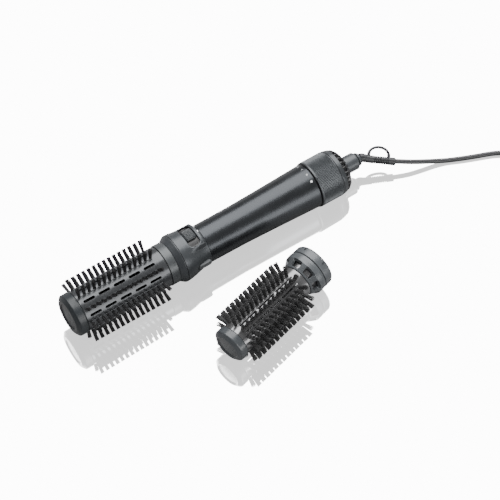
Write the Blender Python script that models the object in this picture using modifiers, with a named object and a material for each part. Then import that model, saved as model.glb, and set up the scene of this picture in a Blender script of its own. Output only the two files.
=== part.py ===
"""Hot air brush with a rotating bristle head, a second smaller head and a mains lead.

The kit lies as it does on a table: the brush rests on its bristle tips and on the selector
ring, the smaller head lies in front of it, and the lead runs off to a tied coil with its plug.

Every size is in metres and +Z is up. The brush is built in the frame of the empty "tool_axis":
X runs along its axis from the bristle end to the lead, and "turn" is an angle round that axis,
measured from straight up towards -Y. The small head has such a frame of its own.
"""
import math

import bmesh
import bpy
from mathutils import Matrix, Vector

# ---- driving dimensions -------------------------------------------------------------------
GAP = 0.0003            # clearance between pieces that touch
WALL = 0.0022           # moulded wall of the handle
STEPS = 32              # facets of the large round pieces
SMALL_STEPS = 18        # facets of the small round pieces

# where the two bodies lie
KIT_X, KIT_Y = -0.0212, 0.0495      # puts the origin under the middle of the kit
TOOL_HEIGHT = 0.02896               # tool axis above the table at X = 0
TOOL_TILT = math.radians(2.06)      # the thinner rear end lies lower
SPARE_PLACE = (-0.0474, -0.1051, 0.02743)
SPARE_YAW = math.radians(13.8)

# brush head, from its front end to the joint with the handle
CAP_FRONT, CAP_REAR, CAP_R = -0.1620, -0.1503, 0.0214
BARREL_FRONT, BARREL_REAR = -0.1500, -0.0577
BARREL_R, BARREL_WALL = 0.02075, 0.0012
BASE_FRONT, BASE_REAR, BASE_R = -0.0574, -0.0488, 0.0212
TIP_R = 0.0318
ROWS = 9
ROW_TURN = math.radians(31.5)
BRISTLES, BRISTLE_FIRST, BRISTLE_PITCH = 15, -0.1464, 0.00558
SLOTS, SLOT_FIRST, SLOT_PITCH, SLOT_LONG, SLOT_WIDE = 5, -0.1398, 0.0165, 0.0120, 0.0023

# drive inside the head
SPIGOT_FRONT, SPIGOT_REAR, SPIGOT_R = -0.1380, -0.0365, 0.0145
GEAR_FRONT, GEAR_REAR = -0.0362, -0.0305
RING_PITCH_R, TOOTH_H, RING_TEETH, PINION_TEETH = 0.0123, 0.0008, 24, 8
PINION_PITCH_R = RING_PITCH_R * PINION_TEETH / RING_TEETH
PINION_OFFSET = RING_PITCH_R - PINION_PITCH_R
PINION_TURN = math.radians(100)
MOTOR_R = 0.0074

# switch housing
NOSE_FRONT, NOSE_REAR = -0.0484, -0.0420
HOUSE_FRONT, HOUSE_REAR, HOUSE_BORE = -0.0417, -0.0131, 0.0179
HOUSE_FRONT_R, HOUSE_REAR_R = 0.02475, 0.0200
PAD_R, PAD_REAR = 0.0240, -0.0142
ROCKER_TURN, ROCKER_HALF = math.radians(-11), math.radians(16.5)
POCKET_FRONT, POCKET_REAR, POCKET_FLOOR = -0.0306, -0.0186, 0.0212
RELEASE_TURN, RELEASE_X, RELEASE_LONG, RELEASE_WIDE = math.radians(84), -0.0221, 0.0146, 0.0064

# handle, selector ring and rear end
HANDLE_FRONT, HANDLE_WAIST, HANDLE_REAR = -0.0128, 0.0270, 0.1126
HANDLE_FRONT_R, HANDLE_REAR_R, NECK_R, NECK_REAR = 0.0196, 0.0228, 0.0202, 0.1404
SELECT_FRONT, SELECT_REAR, SELECT_R = 0.1138, 0.1388, 0.0239
BAND_REAR, BAND_R = 0.1440, 0.0228
GRILLE_REAR, GRILLE_SLOTS = 0.1548, 12
BOSS_REAR, BOSS_R, BOSS_BORE = 0.1690, 0.0089, 0.0056
SWIVEL_REAR, SWIVEL_R = 0.1712, 0.0052

# fan and heater inside the handle
FAN_FRONT, FAN_REAR, FAN_R, FAN_BLADES = 0.0880, 0.0970, 0.0158, 7
FAN_CASE_R = 0.0174
COIL_R, COIL_TURNS, COIL_WIRE = 0.0155, 4, 0.0006

# small head, in its own frame
S_CAP_FRONT, S_CAP_REAR, S_CAP_R = -0.0056, 0.0051, 0.0179
S_BARREL_REAR, S_BARREL_R = 0.0925, 0.0167
S_COLLAR_REAR, S_COLLAR_R = 0.1084, 0.0226
S_LOCK_REAR, S_LOCK_R = 0.1185, 0.0224
S_TIP_R, S_ROWS, S_ROW_TURN = 0.0277, 12, math.radians(12)
S_TUFTS, S_TUFT_FIRST, S_TUFT_PITCH = 13, 0.0120, 0.0059
S_SLOTS, S_SLOT_FIRST, S_SLOT_PITCH, S_SLOT_LONG, S_SLOT_WIDE = 3, 0.0242, 0.0247, 0.0224, 0.0018
S_WINDOWS, S_WINDOW_TURN = 8, math.radians(-19)
S_NOTCHES, S_NOTCH_TURN = 6, math.radians(33)

# strain relief and lead: routes chosen by hand, in the kit's frame
CORD_R = 0.0025
RELIEF_R = 0.0037
RELIEF_ROUTE = [
    (0.1728, 0.0000, 0.0227), (0.1754, -0.0007, 0.0221), (0.1782, -0.0028, 0.0213),
    (0.1815, -0.0052, 0.0202), (0.1870, -0.0087, 0.0187), (0.1950, -0.0138, 0.0166),
    (0.2030, -0.0188, 0.0146)]
CORD_ROUTE = [
    (0.2034, -0.0190, 0.0147), (0.2120, -0.0235, 0.0129), (0.2210, -0.0278, 0.0105),
    (0.2308, -0.0317, 0.0076), (0.2385, -0.0346, 0.0053), (0.2460, -0.0376, 0.0036),
    (0.2530, -0.0407, 0.0026), (0.2600, -0.0440, 0.0026), (0.2690, -0.0481, 0.0026),
    (0.2790, -0.0523, 0.0026), (0.2885, -0.0561, 0.0026), (0.2965, -0.0597, 0.0026),
    (0.3032, -0.0638, 0.0026), (0.3082, -0.0691, 0.0026), (0.3122, -0.0750, 0.0026)]
WIND_CENTRE, WIND_R, WIND_HALF = (0.3490, -0.0815), 0.0275, 0.0077
TIE_TURN = math.radians(-80)

# plug beside the coil: sections of its body as (distance from the tail, width, thickness)
PLUG_TURN, PLUG_HEADING = math.radians(35), math.radians(85)
PLUG_TAIL, PLUG_THICK = 0.0038, 0.0160
PLUG_SECTIONS = [(0.0220, 0.0110, 0.0100), (0.0330, 0.0300, 0.0160), (0.0520, 0.0350, 0.0160)]
PIN_R, PIN_LONG, PIN_APART = 0.0023, 0.0190, 0.0186


# ---- scene and materials --------------------------------------------------------------------
def clear_scene():
    for thing in list(bpy.data.objects):
        bpy.data.objects.remove(thing, do_unlink=True)


def new_collection(name):
    group = bpy.data.collections.new(name)
    bpy.context.scene.collection.children.link(group)
    return group


def material(name, colour, roughness, metallic=0.0):
    made = bpy.data.materials.new(name)
    made.use_nodes = True
    shader = made.node_tree.nodes["Principled BSDF"]
    shader.inputs["Base Color"].default_value = (*colour, 1)
    shader.inputs["Roughness"].default_value = roughness
    shader.inputs["Metallic"].default_value = metallic
    return made


def empty(name, place, rotation, parent=None):
    made = bpy.data.objects.new(name, None)
    PARTS.objects.link(made)
    made.parent = parent
    made.location = place
    made.rotation_euler = rotation
    return made


def add(name, mesh, finish, parent, rotation=(0, 0, 0), group=None):
    """Put a mesh in the scene as one named piece."""
    made = bpy.data.objects.new(name, mesh)
    (group or PARTS).objects.link(made)
    made.parent = parent
    made.rotation_euler = rotation
    if finish:
        made.data.materials.append(finish)
    if group is CUTTERS:
        made.hide_render = True
        made.display_type = "WIRE"
    return made


def from_bmesh(name, bm, finish, parent, rotation=(0, 0, 0), group=None):
    bmesh.ops.recalc_face_normals(bm, faces=bm.faces)
    mesh = bpy.data.meshes.new(name)
    bm.to_mesh(mesh)
    bm.free()
    return add(name, mesh, finish, parent, rotation, group)


# ---- shape helpers --------------------------------------------------------------------------
def turned(name, outline, finish, parent, steps=STEPS, phase=0.0):
    """Turn an outline of (X, radius) points round the axis. It runs from the rear to the front
    on its outer side; an outline that does not touch the axis is closed into a ring."""
    points = [(radius * math.cos(phase), radius * math.sin(phase), along)
              for along, radius in outline]
    edges = [(i, i + 1) for i in range(len(points) - 1)]
    if outline[0][1] > 0:
        edges.append((len(points) - 1, 0))
    mesh = bpy.data.meshes.new(name)
    mesh.from_pydata(points, edges, [])
    made = add(name, mesh, finish, parent, (0, math.pi / 2, 0))
    screw = made.modifiers.new("turn", "SCREW")
    screw.steps = screw.render_steps = steps
    screw.use_merge_vertices = True
    screw.merge_threshold = 0.00001
    return made


def box_matrix(turn, centre, size):
    """A unit cube's matrix: sized, placed at (along, across, out) and swung round the axis."""
    return Matrix.Rotation(turn, 4, "X") @ Matrix.LocRotScale(Vector(centre), None, Vector(size))


def boxes(name, matrices, finish, parent, group=None):
    bm = bmesh.new()
    for matrix in matrices:
        bmesh.ops.create_cube(bm, size=1, matrix=matrix)
    return from_bmesh(name, bm, finish, parent, group=group)


def sector(name, outline, start, sweep, steps, finish, parent, group=None):
    """Swing a closed outline of (X, radius) points round the axis through part of a turn."""
    bm = bmesh.new()
    corners = [bm.verts.new((along, 0, radius)) for along, radius in outline]
    bm.faces.new(corners)
    bmesh.ops.rotate(bm, verts=bm.verts, cent=(0, 0, 0), matrix=Matrix.Rotation(start, 3, "X"))
    bmesh.ops.spin(bm, geom=bm.verts[:] + bm.edges[:] + bm.faces[:], axis=(1, 0, 0),
                   cent=(0, 0, 0), angle=sweep, steps=steps, use_duplicate=False)
    bmesh.ops.remove_doubles(bm, verts=bm.verts, dist=0.000001)
    return from_bmesh(name, bm, finish, parent, group=group)


def stadium(name, length, width, low, high, turn, along, finish, parent, group=None):
    """A block with a long-oval outline that stands out from the axis between two radii."""
    bm = bmesh.new()
    half, radius = (length - width) / 2, width / 2
    ring = []
    for side, first in ((1, -90), (-1, 90)):
        for step in range(7):
            angle = math.radians(first + 30 * step)
            ring.append((along + side * half + radius * math.cos(angle), radius * math.sin(angle)))
    face = bm.faces.new([bm.verts.new((x, y, low)) for x, y in ring])
    top = bmesh.ops.extrude_face_region(bm, geom=[face])["geom"]
    raised = [item for item in top if isinstance(item, bmesh.types.BMVert)]
    bmesh.ops.translate(bm, verts=raised, vec=(0, 0, high - low))
    bmesh.ops.rotate(bm, verts=bm.verts, cent=(0, 0, 0), matrix=Matrix.Rotation(turn, 3, "X"))
    return from_bmesh(name, bm, finish, parent, group=group)


def tube(name, points, radius, finish, parent, sides=2, closed=False):
    """A round tube along points, with filled ends, left as a mesh with welded caps."""
    data = bpy.data.curves.new(name, "CURVE")
    data.dimensions = "3D"
    data.bevel_depth = radius
    data.bevel_resolution = sides
    data.use_fill_caps = not closed
    line = data.splines.new("POLY")
    line.points.add(len(points) - 1)
    line.use_cyclic_u = closed
    for spot, place in zip(line.points, points):
        spot.co = (*place, 1)
    guide = bpy.data.objects.new(name + "_line", data)
    PARTS.objects.link(guide)
    bpy.context.view_layer.update()
    seen = guide.evaluated_get(bpy.context.evaluated_depsgraph_get())
    mesh = bpy.data.meshes.new_from_object(seen)
    bpy.data.objects.remove(guide, do_unlink=True)
    bm = bmesh.new()
    bm.from_mesh(mesh)
    bmesh.ops.remove_doubles(bm, verts=bm.verts, dist=0.000002)
    return from_bmesh(name, bm, finish, parent)


def combine(target, other, how="DIFFERENCE"):
    """Cut, join or intersect the target with another piece of the cutters' collection."""
    change = target.modifiers.new(how.lower(), "BOOLEAN")
    change.operation = how
    change.object = other
    change.solver = "EXACT"


def smooth_route(points, spacing):
    """Points a fixed distance apart on the smooth curve through a route's points."""
    spots = [Vector(point) for point in points]
    ends = [spots[0] * 2 - spots[1]] + spots + [spots[-1] * 2 - spots[-2]]
    fine = []
    for a, b, c, d in zip(ends, ends[1:], ends[2:], ends[3:]):
        for step in range(20):
            t = step / 20
            fine.append(0.5 * (2 * b + (c - a) * t + (2 * a - 5 * b + 4 * c - d) * t ** 2
                               + (3 * b - a - 3 * c + d) * t ** 3))
    fine.append(spots[-1])
    length = sum((b - a).length for a, b in zip(fine, fine[1:]))
    count = max(2, round(length / spacing))
    chosen, walked, index = [fine[0]], 0.0, 1
    for step in range(1, count):
        goal = length * step / count
        while walked + (fine[index] - fine[index - 1]).length < goal:
            walked += (fine[index] - fine[index - 1]).length
            index += 1
        part = (goal - walked) / (fine[index] - fine[index - 1]).length
        chosen.append(fine[index - 1].lerp(fine[index], part))
    return chosen + [fine[-1]]


def bristle_strip(name, turn, base_r, tip_r, width, centres, root, tip, finish, parent):
    """A low rail along the barrel with a row of tapering bristles; the end ones lean out."""
    rail_r = base_r + 0.0009
    start, end = centres[0] - root, centres[-1] + root
    middle = (start + end) / 2
    outline = [(start, base_r), (end, base_r), (end, rail_r)]
    for centre in reversed(centres):
        lean = 0.0014 * ((centre - middle) / (end - middle)) ** 5
        outline += [(centre + root / 2, rail_r), (centre + lean + tip / 2, tip_r),
                    (centre + lean - tip / 2, tip_r), (centre - root / 2, rail_r)]
    outline.append((start, rail_r))
    bm = bmesh.new()
    face = bm.faces.new([bm.verts.new((along, -width / 2, radius)) for along, radius in outline])
    grown = bmesh.ops.extrude_face_region(bm, geom=[face])["geom"]
    moved = [item for item in grown if isinstance(item, bmesh.types.BMVert)]
    bmesh.ops.translate(bm, verts=moved, vec=(0, width, 0))
    bmesh.ops.rotate(bm, verts=bm.verts, cent=(0, 0, 0), matrix=Matrix.Rotation(turn, 3, "X"))
    return from_bmesh(name, bm, finish, parent)


def arc_points(centre, radius, first, last, steps):
    """Points of (X, radius) on an arc, with angles in degrees measured from the +X direction."""
    angles = [math.radians(first + (last - first) * i / steps) for i in range(steps + 1)]
    return [(centre[0] + radius * math.cos(a), centre[1] + radius * math.sin(a)) for a in angles]


# ---- brush head -----------------------------------------------------------------------------
def end_cap(name, front, rear, radius, plug_r, disc_r, parent):
    """Domed cap: a plug into the barrel, a skirt, a rounded rim and a sunken front disc."""
    rim = 0.0040
    turned(name, [
        (rear + 0.0050, 0.0), (rear + 0.0050, plug_r), (rear, plug_r), (rear, radius),
        *arc_points((front + rim, radius - rim), rim, 90, 180, 3),
        (front, disc_r), (front + 0.0007, disc_r - 0.0006), (front + 0.0007, 0.0)],
        MAT["cap"], parent)


def slotted_barrel(name, front, rear, radius, wall, slots, facets, finish, parent):
    """Thin tube with rows of slots, each row in the middle of a facet."""
    turn, rows, count, first, pitch, long, wide = slots
    barrel = turned(name, [(rear, radius), (front, radius), (front, radius - wall),
                           (rear, radius - wall)], finish, parent, facets,
                    turn + math.pi + math.pi / facets)
    cutter = boxes(name + "_slots", [
        box_matrix(turn + math.tau * row / rows, (first + pitch * i, 0, radius),
                   (long, wide, 4 * wall))
        for row in range(rows) for i in range(count)], None, parent, CUTTERS)
    combine(barrel, cutter)


def brush_head(tool):
    end_cap("head_end_cap", CAP_FRONT, CAP_REAR, CAP_R, BARREL_R - BARREL_WALL - GAP, 0.0130, tool)
    between = ROW_TURN + math.pi / ROWS
    slotted_barrel("head_barrel", BARREL_FRONT, BARREL_REAR, BARREL_R, BARREL_WALL,
                   (between, ROWS, SLOTS, SLOT_FIRST, SLOT_PITCH, SLOT_LONG, SLOT_WIDE),
                   4 * ROWS, MAT["barrel"], tool)
    tenon = BARREL_R - BARREL_WALL - GAP
    turned("head_base_ring", [
        (BASE_REAR, BASE_R), (BASE_FRONT, BASE_R), (BASE_FRONT, tenon),
        (BASE_FRONT - 0.0060, tenon), (BASE_FRONT - 0.0060, 0.0172), (BASE_REAR, 0.0172)],
        MAT["base"], tool)
    turned("head_hub", [
        (BASE_REAR, 0.0169), (-0.0760, 0.0169), (-0.0760, SPIGOT_R + 0.0004),
        (BASE_REAR, SPIGOT_R + 0.0004)], MAT["hub"], tool)
    centres = [BRISTLE_FIRST + BRISTLE_PITCH * i for i in range(BRISTLES)]
    for row in range(ROWS):
        bristle_strip(f"bristle_strip_{row + 1}", ROW_TURN + math.tau * row / ROWS,
                      BARREL_R + GAP, TIP_R, 0.0026, centres, 0.0026, 0.0021,
                      MAT["bristle"], tool)


def drive(tool):
    """Rotating spigot that carries the head, its ring gear, and the pinion and motor."""
    spigot = turned("drive_spigot", [
        (SPIGOT_REAR, 0.0168), (SPIGOT_REAR - 0.0020, 0.0168), (SPIGOT_REAR - 0.0020, SPIGOT_R),
        (SPIGOT_FRONT, SPIGOT_R), (SPIGOT_FRONT, SPIGOT_R - 0.0016),
        (SPIGOT_REAR, SPIGOT_R - 0.0016)], MAT["hub"], tool, 24)
    vents = boxes("spigot_vents", [
        box_matrix(math.tau * row / 4, (-0.1220 + 0.0220 * i, 0, SPIGOT_R), (0.0160, 0.0060, 0.006))
        for row in range(4) for i in range(2)], None, tool, CUTTERS)
    combine(spigot, vents)
    gear_wheel("drive_ring_gear", RING_TEETH, RING_PITCH_R, -TOOTH_H, 0.0168, 0.0, tool)
    gear_wheel("motor_pinion", PINION_TEETH, PINION_PITCH_R, TOOTH_H, 0.0, PINION_OFFSET, tool)
    turned_aside("spin_motor", [
        (-0.0060, 0.0), (-0.0060, MOTOR_R), (-0.0295, MOTOR_R), (-0.0295, 0.0)],
        PINION_OFFSET, MAT["steel"], tool, SMALL_STEPS)


def turned_aside(name, outline, offset, finish, tool, steps):
    """Turned piece whose own axis lies beside the tool axis, towards the pinion."""
    made = turned(name, outline, finish, tool, steps)
    made.location = Matrix.Rotation(PINION_TURN, 3, "X") @ Vector((0, 0, offset))
    return made


def gear_wheel(name, teeth, pitch_r, height, rim_r, offset, tool):
    """Straight-toothed wheel; a negative tooth height makes an internal gear inside a rim."""
    bm = bmesh.new()
    narrow, wide = 0.0004 / pitch_r, 0.0007 / pitch_r
    outline = []
    for tooth in range(teeth):
        middle = math.tau * tooth / teeth + (math.pi / teeth if height < 0 else 0)
        for side, radius in ((-wide, pitch_r - 1.25 * height), (-narrow, pitch_r + height),
                             (narrow, pitch_r + height), (wide, pitch_r - 1.25 * height)):
            angle = middle + side
            outline.append((radius * math.cos(angle), radius * math.sin(angle)))
    toothed = [bm.verts.new((GEAR_FRONT, y, z)) for y, z in outline]
    inner = [bm.edges.new((a, b)) for a, b in zip(toothed, toothed[1:] + toothed[:1])]
    if rim_r:
        ring = [bm.verts.new((GEAR_FRONT, rim_r * math.cos(math.tau * i / SMALL_STEPS / 2),
                              rim_r * math.sin(math.tau * i / SMALL_STEPS / 2)))
                for i in range(SMALL_STEPS * 2)]
        outer = [bm.edges.new((a, b)) for a, b in zip(ring, ring[1:] + ring[:1])]
        bmesh.ops.triangle_fill(bm, edges=inner + outer, use_beauty=True)
    else:
        bm.faces.new(toothed)
    grown = bmesh.ops.extrude_face_region(bm, geom=bm.faces[:])["geom"]
    moved = [item for item in grown if isinstance(item, bmesh.types.BMVert)]
    bmesh.ops.translate(bm, verts=moved, vec=(GEAR_REAR - GEAR_FRONT, 0, 0))
    made = from_bmesh(name, bm, MAT["gear"], tool, (PINION_TURN, 0, 0))
    made.location = Matrix.Rotation(PINION_TURN, 3, "X") @ Vector((0, 0, offset))
    return made


# ---- switch housing ---------------------------------------------------------------------------
def switch_housing(tool):
    turned("nose_ring", [
        (NOSE_REAR, 0.0246), (NOSE_FRONT, 0.0207), (NOSE_FRONT, 0.0172), (NOSE_REAR, 0.0172)],
        MAT["black"], tool)
    house = turned("switch_housing", [
        (HOUSE_REAR, HOUSE_REAR_R), (HOUSE_FRONT, HOUSE_FRONT_R), (HOUSE_FRONT, HOUSE_BORE),
        (HOUSE_REAR, HOUSE_BORE)], MAT["housing"], tool)
    pad = sector("pad_block", [
        (HOUSE_FRONT + 0.0004, HOUSE_BORE + 0.0008), (PAD_REAR + 0.0009, HOUSE_BORE + 0.0008),
        (PAD_REAR + 0.0009, 0.0212), (PAD_REAR, PAD_R), (HOUSE_FRONT + 0.0012, 0.0246)],
        ROCKER_TURN - math.radians(48), math.radians(96), 10, None, tool, CUTTERS)
    pocket = sector("pocket_block", [
        (POCKET_FRONT, POCKET_FLOOR), (POCKET_REAR, POCKET_FLOOR), (POCKET_REAR, 0.0300),
        (POCKET_FRONT, 0.0300)], ROCKER_TURN - math.radians(35), math.radians(70), 10,
        None, tool, CUTTERS)
    seat = stadium("release_seat", RELEASE_LONG + 0.0008, RELEASE_WIDE + 0.0008, 0.0150, 0.0300,
                   RELEASE_TURN, RELEASE_X, None, tool, CUTTERS)
    combine(house, pad, "UNION")
    combine(house, pocket)
    combine(house, seat)
    rocker = [
        (POCKET_FRONT + 0.0005, POCKET_FLOOR + GAP), (POCKET_REAR - 0.0006, POCKET_FLOOR + GAP),
        (POCKET_REAR - 0.0006, 0.0242), (POCKET_REAR - 0.0014, 0.0246),
        (POCKET_FRONT + 0.0013, 0.0246), (POCKET_FRONT + 0.0005, 0.0242)]
    sector("rotation_rocker", rocker, ROCKER_TURN - ROCKER_HALF, 2 * ROCKER_HALF, 6,
           MAT["button"], tool)
    stadium("release_button", RELEASE_LONG, RELEASE_WIDE, 0.0186, 0.0234, RELEASE_TURN,
            RELEASE_X, MAT["button"], tool)
    boxes("rotation_circuit_board", [
        box_matrix(ROCKER_TURN, (-0.0240, 0, 0.0154), (0.0110, 0.0100, 0.0012))],
        MAT["board"], tool)


# ---- handle -------------------------------------------------------------------------------------
def handle(tool):
    turned("handle_tube", [
        (NECK_REAR, NECK_R), (HANDLE_REAR, NECK_R), (HANDLE_REAR, HANDLE_REAR_R),
        (HANDLE_WAIST, HANDLE_FRONT_R + 0.0002), (HANDLE_FRONT, HANDLE_FRONT_R),
        (HANDLE_FRONT, HANDLE_FRONT_R - WALL), (HANDLE_WAIST, HANDLE_FRONT_R - WALL),
        (HANDLE_REAR, NECK_R - 0.0016), (NECK_REAR, NECK_R - 0.0016)], MAT["handle"], tool)
    turned("shoulder_ring", [
        (SELECT_FRONT - 0.0004, SELECT_R - 0.0002), (HANDLE_REAR + GAP, HANDLE_REAR_R - 0.0001),
        (HANDLE_REAR + GAP, NECK_R + GAP), (SELECT_FRONT - 0.0004, NECK_R + GAP)],
        MAT["black"], tool)
    turned("selector_ring", [
        (SELECT_REAR, SELECT_R - 0.0006), (SELECT_REAR - 0.0006, SELECT_R),
        (SELECT_FRONT + 0.0006, SELECT_R), (SELECT_FRONT, SELECT_R - 0.0006),
        (SELECT_FRONT, NECK_R + 0.0004), (SELECT_REAR, NECK_R + 0.0004)], MAT["selector"], tool)
    turned("rear_band", [
        (BAND_REAR, BAND_R), (SELECT_REAR + 0.0004, SELECT_R - 0.0003),
        (SELECT_REAR + 0.0004, NECK_R + GAP), (NECK_REAR + GAP, NECK_R + GAP),
        (NECK_REAR + GAP, NECK_R - 0.0016), (BAND_REAR, NECK_R - 0.0016)], MAT["band"], tool)
    boxes("selector_switch", [
        box_matrix(0, (0.1210, 0, 0.0125), (0.0180, 0.0120, 0.0080))], MAT["board"], tool)


def rear_end(tool):
    """Domed intake grille with radial slots, the screen behind it and the lead's boss."""
    front, depth, hole = BAND_REAR + GAP, GRILLE_REAR - BAND_REAR, BOSS_R + GAP
    angles = [math.radians(22.5 * i) for i in range(4)]
    dome = [(BAND_REAR + depth * math.cos(a), hole + 0.0008 + (BAND_R - hole - 0.0014) * math.sin(a))
            for a in angles]
    inner = [(along - 0.0015, max(hole, radius - 0.0013)) for along, radius in dome]
    grille = turned("rear_grille", dome + [(front, BAND_R - 0.0006), (front, BAND_R - 0.0022)]
                    + inner[::-1], MAT["black"], tool, 2 * GRILLE_SLOTS)
    slots = boxes("grille_slots", [
        box_matrix(math.tau * (i + 0.5) / GRILLE_SLOTS, (GRILLE_REAR - 0.0010, 0, 0.0152),
                   (0.0200, 0.0018, 0.0074))
        for i in range(GRILLE_SLOTS)], None, tool, CUTTERS)
    combine(grille, slots)
    turned("dust_screen", [
        (0.1430, 0.0180), (0.1422, 0.0180), (0.1422, 0.0096), (0.1430, 0.0096)],
        MAT["screen"], tool, SMALL_STEPS)
    turned("lead_boss", [
        (BOSS_REAR - 0.0010, BOSS_BORE + 0.0012), (BOSS_REAR - 0.0014, BOSS_R),
        (0.1470, BOSS_R), (0.1470, BOSS_BORE), (BOSS_REAR - 0.0010, BOSS_BORE)],
        MAT["boss"], tool, 2 * SMALL_STEPS)
    turned("lead_swivel", [
        (SWIVEL_REAR, 0.0), (SWIVEL_REAR, SWIVEL_R - 0.0012), (SWIVEL_REAR - 0.0012, SWIVEL_R),
        (0.1500, SWIVEL_R), (0.1500, 0.0)], MAT["relief"], tool, SMALL_STEPS)


# ---- heater and fan -------------------------------------------------------------------------------
def heater(tool):
    frame = boxes("heater_frame", [
        box_matrix(0, (0.0290, 0, 0), (0.0600, 0.0270, 0.0008))], MAT["mica"], tool)
    cross = boxes("heater_cross", [
        box_matrix(math.pi / 2, (0.0290, 0, 0), (0.0601, 0.0269, 0.0008))], None, tool, CUTTERS)
    combine(frame, cross, "UNION")
    points = []
    for step in range(COIL_TURNS * 10 + 1):
        angle = math.tau * step / 10
        along = 0.0060 + 0.0460 * step / (COIL_TURNS * 10)
        points.append((along, COIL_R * math.sin(angle), COIL_R * math.cos(angle)))
    tube("heater_coil", points, COIL_WIRE, MAT["wire"], tool, sides=0)


def fan(tool):
    turned("fan_motor", [
        (0.0872, 0.0), (0.0872, 0.0130), (0.0640, 0.0130), (0.0640, 0.0)], MAT["steel"], tool, 24)
    case = turned("fan_housing", [
        (0.1000, FAN_CASE_R), (0.0620, FAN_CASE_R), (0.0620, FAN_CASE_R - 0.0010),
        (0.1000, FAN_CASE_R - 0.0010)], MAT["hub"], tool, 36)
    vanes = boxes("stator_vanes", [
        box_matrix(math.tau * (i + 0.25) / 5, (0.0730, 0, 0.0150), (0.0160, 0.0010, 0.0034))
        for i in range(5)], None, tool, CUTTERS)
    combine(case, vanes, "UNION")
    impeller = turned("fan_impeller", [
        (FAN_REAR, 0.0), (FAN_REAR, 0.0045), (FAN_FRONT, 0.0065), (FAN_FRONT, 0.0)],
        MAT["hub"], tool, SMALL_STEPS)
    middle = (FAN_FRONT + FAN_REAR) / 2
    blades = []
    for i in range(FAN_BLADES):
        swing = Matrix.Rotation(math.tau * i / FAN_BLADES, 4, "X")
        pitch = Matrix.Rotation(math.radians(35), 4, "Z")
        size = Matrix.Diagonal((0.0080, 0.0008, FAN_R - 0.0050, 1))
        blades.append(swing @ Matrix.Translation((middle, 0, (FAN_R + 0.0044) / 2)) @ pitch @ size)
    combine(impeller, boxes("fan_blades", blades, None, tool, CUTTERS), "UNION")


# ---- small head -----------------------------------------------------------------------------------
def small_head(spare):
    wall = BARREL_WALL
    end_cap("small_end_cap", S_CAP_FRONT, S_CAP_REAR, S_CAP_R, S_BARREL_R - wall - GAP, 0.0115,
            spare)
    between = S_ROW_TURN + math.pi / S_ROWS
    slotted_barrel("small_barrel", S_CAP_REAR + GAP, S_BARREL_REAR, S_BARREL_R, wall,
                   (between, S_ROWS, S_SLOTS, S_SLOT_FIRST, S_SLOT_PITCH, S_SLOT_LONG,
                    S_SLOT_WIDE), 2 * S_ROWS, MAT["silver"], spare)
    front = S_BARREL_REAR + GAP
    tenon = S_BARREL_R - wall - GAP
    collar = turned("small_collar", [
        (S_COLLAR_REAR, S_COLLAR_R - 0.0003), (0.1005, S_COLLAR_R), (front, 0.0174),
        (front, tenon), (front - 0.0060, tenon), (front - 0.0060, 0.0136), (front, 0.0136),
        (0.1020, 0.0200), (S_COLLAR_REAR, 0.0200)], MAT["collar"], spare, 24)
    windows = boxes("collar_windows", [
        box_matrix(S_WINDOW_TURN + math.tau * i / S_WINDOWS, (0.0975, 0, 0.0193),
                   (0.0068, 0.0106, 0.0126))
        for i in range(S_WINDOWS)], None, spare, CUTTERS)
    combine(collar, windows)
    lock = turned("small_lock_ring", [
        (S_LOCK_REAR, S_LOCK_R - 0.0022), (S_LOCK_REAR - 0.0022, S_LOCK_R - 0.0002),
        (S_COLLAR_REAR + 0.0007, S_LOCK_R), (S_COLLAR_REAR + 0.0007, 0.0172),
        (S_LOCK_REAR, 0.0172)], MAT["collar"], spare, 30)
    notches = boxes("lock_notches", [
        box_matrix(S_NOTCH_TURN + math.tau * i / S_NOTCHES, (S_LOCK_REAR - 0.0020, 0, S_LOCK_R),
                   (0.0060, 0.0016, 0.0016))
        for i in range(S_NOTCHES)], None, spare, CUTTERS)
    combine(lock, notches)
    centres = [S_TUFT_FIRST + S_TUFT_PITCH * i for i in range(S_TUFTS)]
    for row in range(S_ROWS):
        bristle_strip(f"small_bristle_strip_{row + 1}", S_ROW_TURN + math.tau * row / S_ROWS,
                      S_BARREL_R + GAP, S_TIP_R, 0.0028, centres, 0.0030, 0.0032,
                      MAT["tuft"], spare)


# ---- lead -------------------------------------------------------------------------------------------
def strain_relief(kit):
    """Tapered sleeve with ribs and a collar at its end, and the hanging loop beside it."""
    route = smooth_route(RELIEF_ROUTE, 0.0030)
    tube("strain_relief", route, RELIEF_R, MAT["relief"], kit, sides=3)
    along = (route[-1] - route[3]).normalized()
    facing = Vector((0.478, 0.719, 0.505))
    up = (facing - along * facing.dot(along)).normalized()
    middle = (route[3] + route[-2]) / 2 + up * 0.0048 - along * 0.0019
    half, high = 0.0102, 0.0078
    loop = []
    for step in range(13):
        angle = math.pi * step / 12
        loop.append(middle - along * half * math.cos(angle) + up * high * math.sin(angle))
    tube("hanging_loop", loop, 0.0013, MAT["relief"], kit)


def lead(kit):
    tube("mains_lead", smooth_route(CORD_ROUTE, 0.0080), CORD_R, MAT["lead"], kit)
    inner, outer, high = WIND_R - WIND_HALF, WIND_R + WIND_HALF, 2 * WIND_HALF
    edge = 0.0024
    coil = turned("lead_coil", [
        (high, inner + edge), (high, outer - edge), (high - edge, outer), (edge, outer),
        (0.0, outer - edge), (0.0, inner + edge), (edge, inner), (high - edge, inner)],
        MAT["lead"], kit, 30)
    coil.rotation_euler = (0, 0, 0)
    coil.location = (*WIND_CENTRE, 0)
    tie(kit, inner, outer, high)


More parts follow.
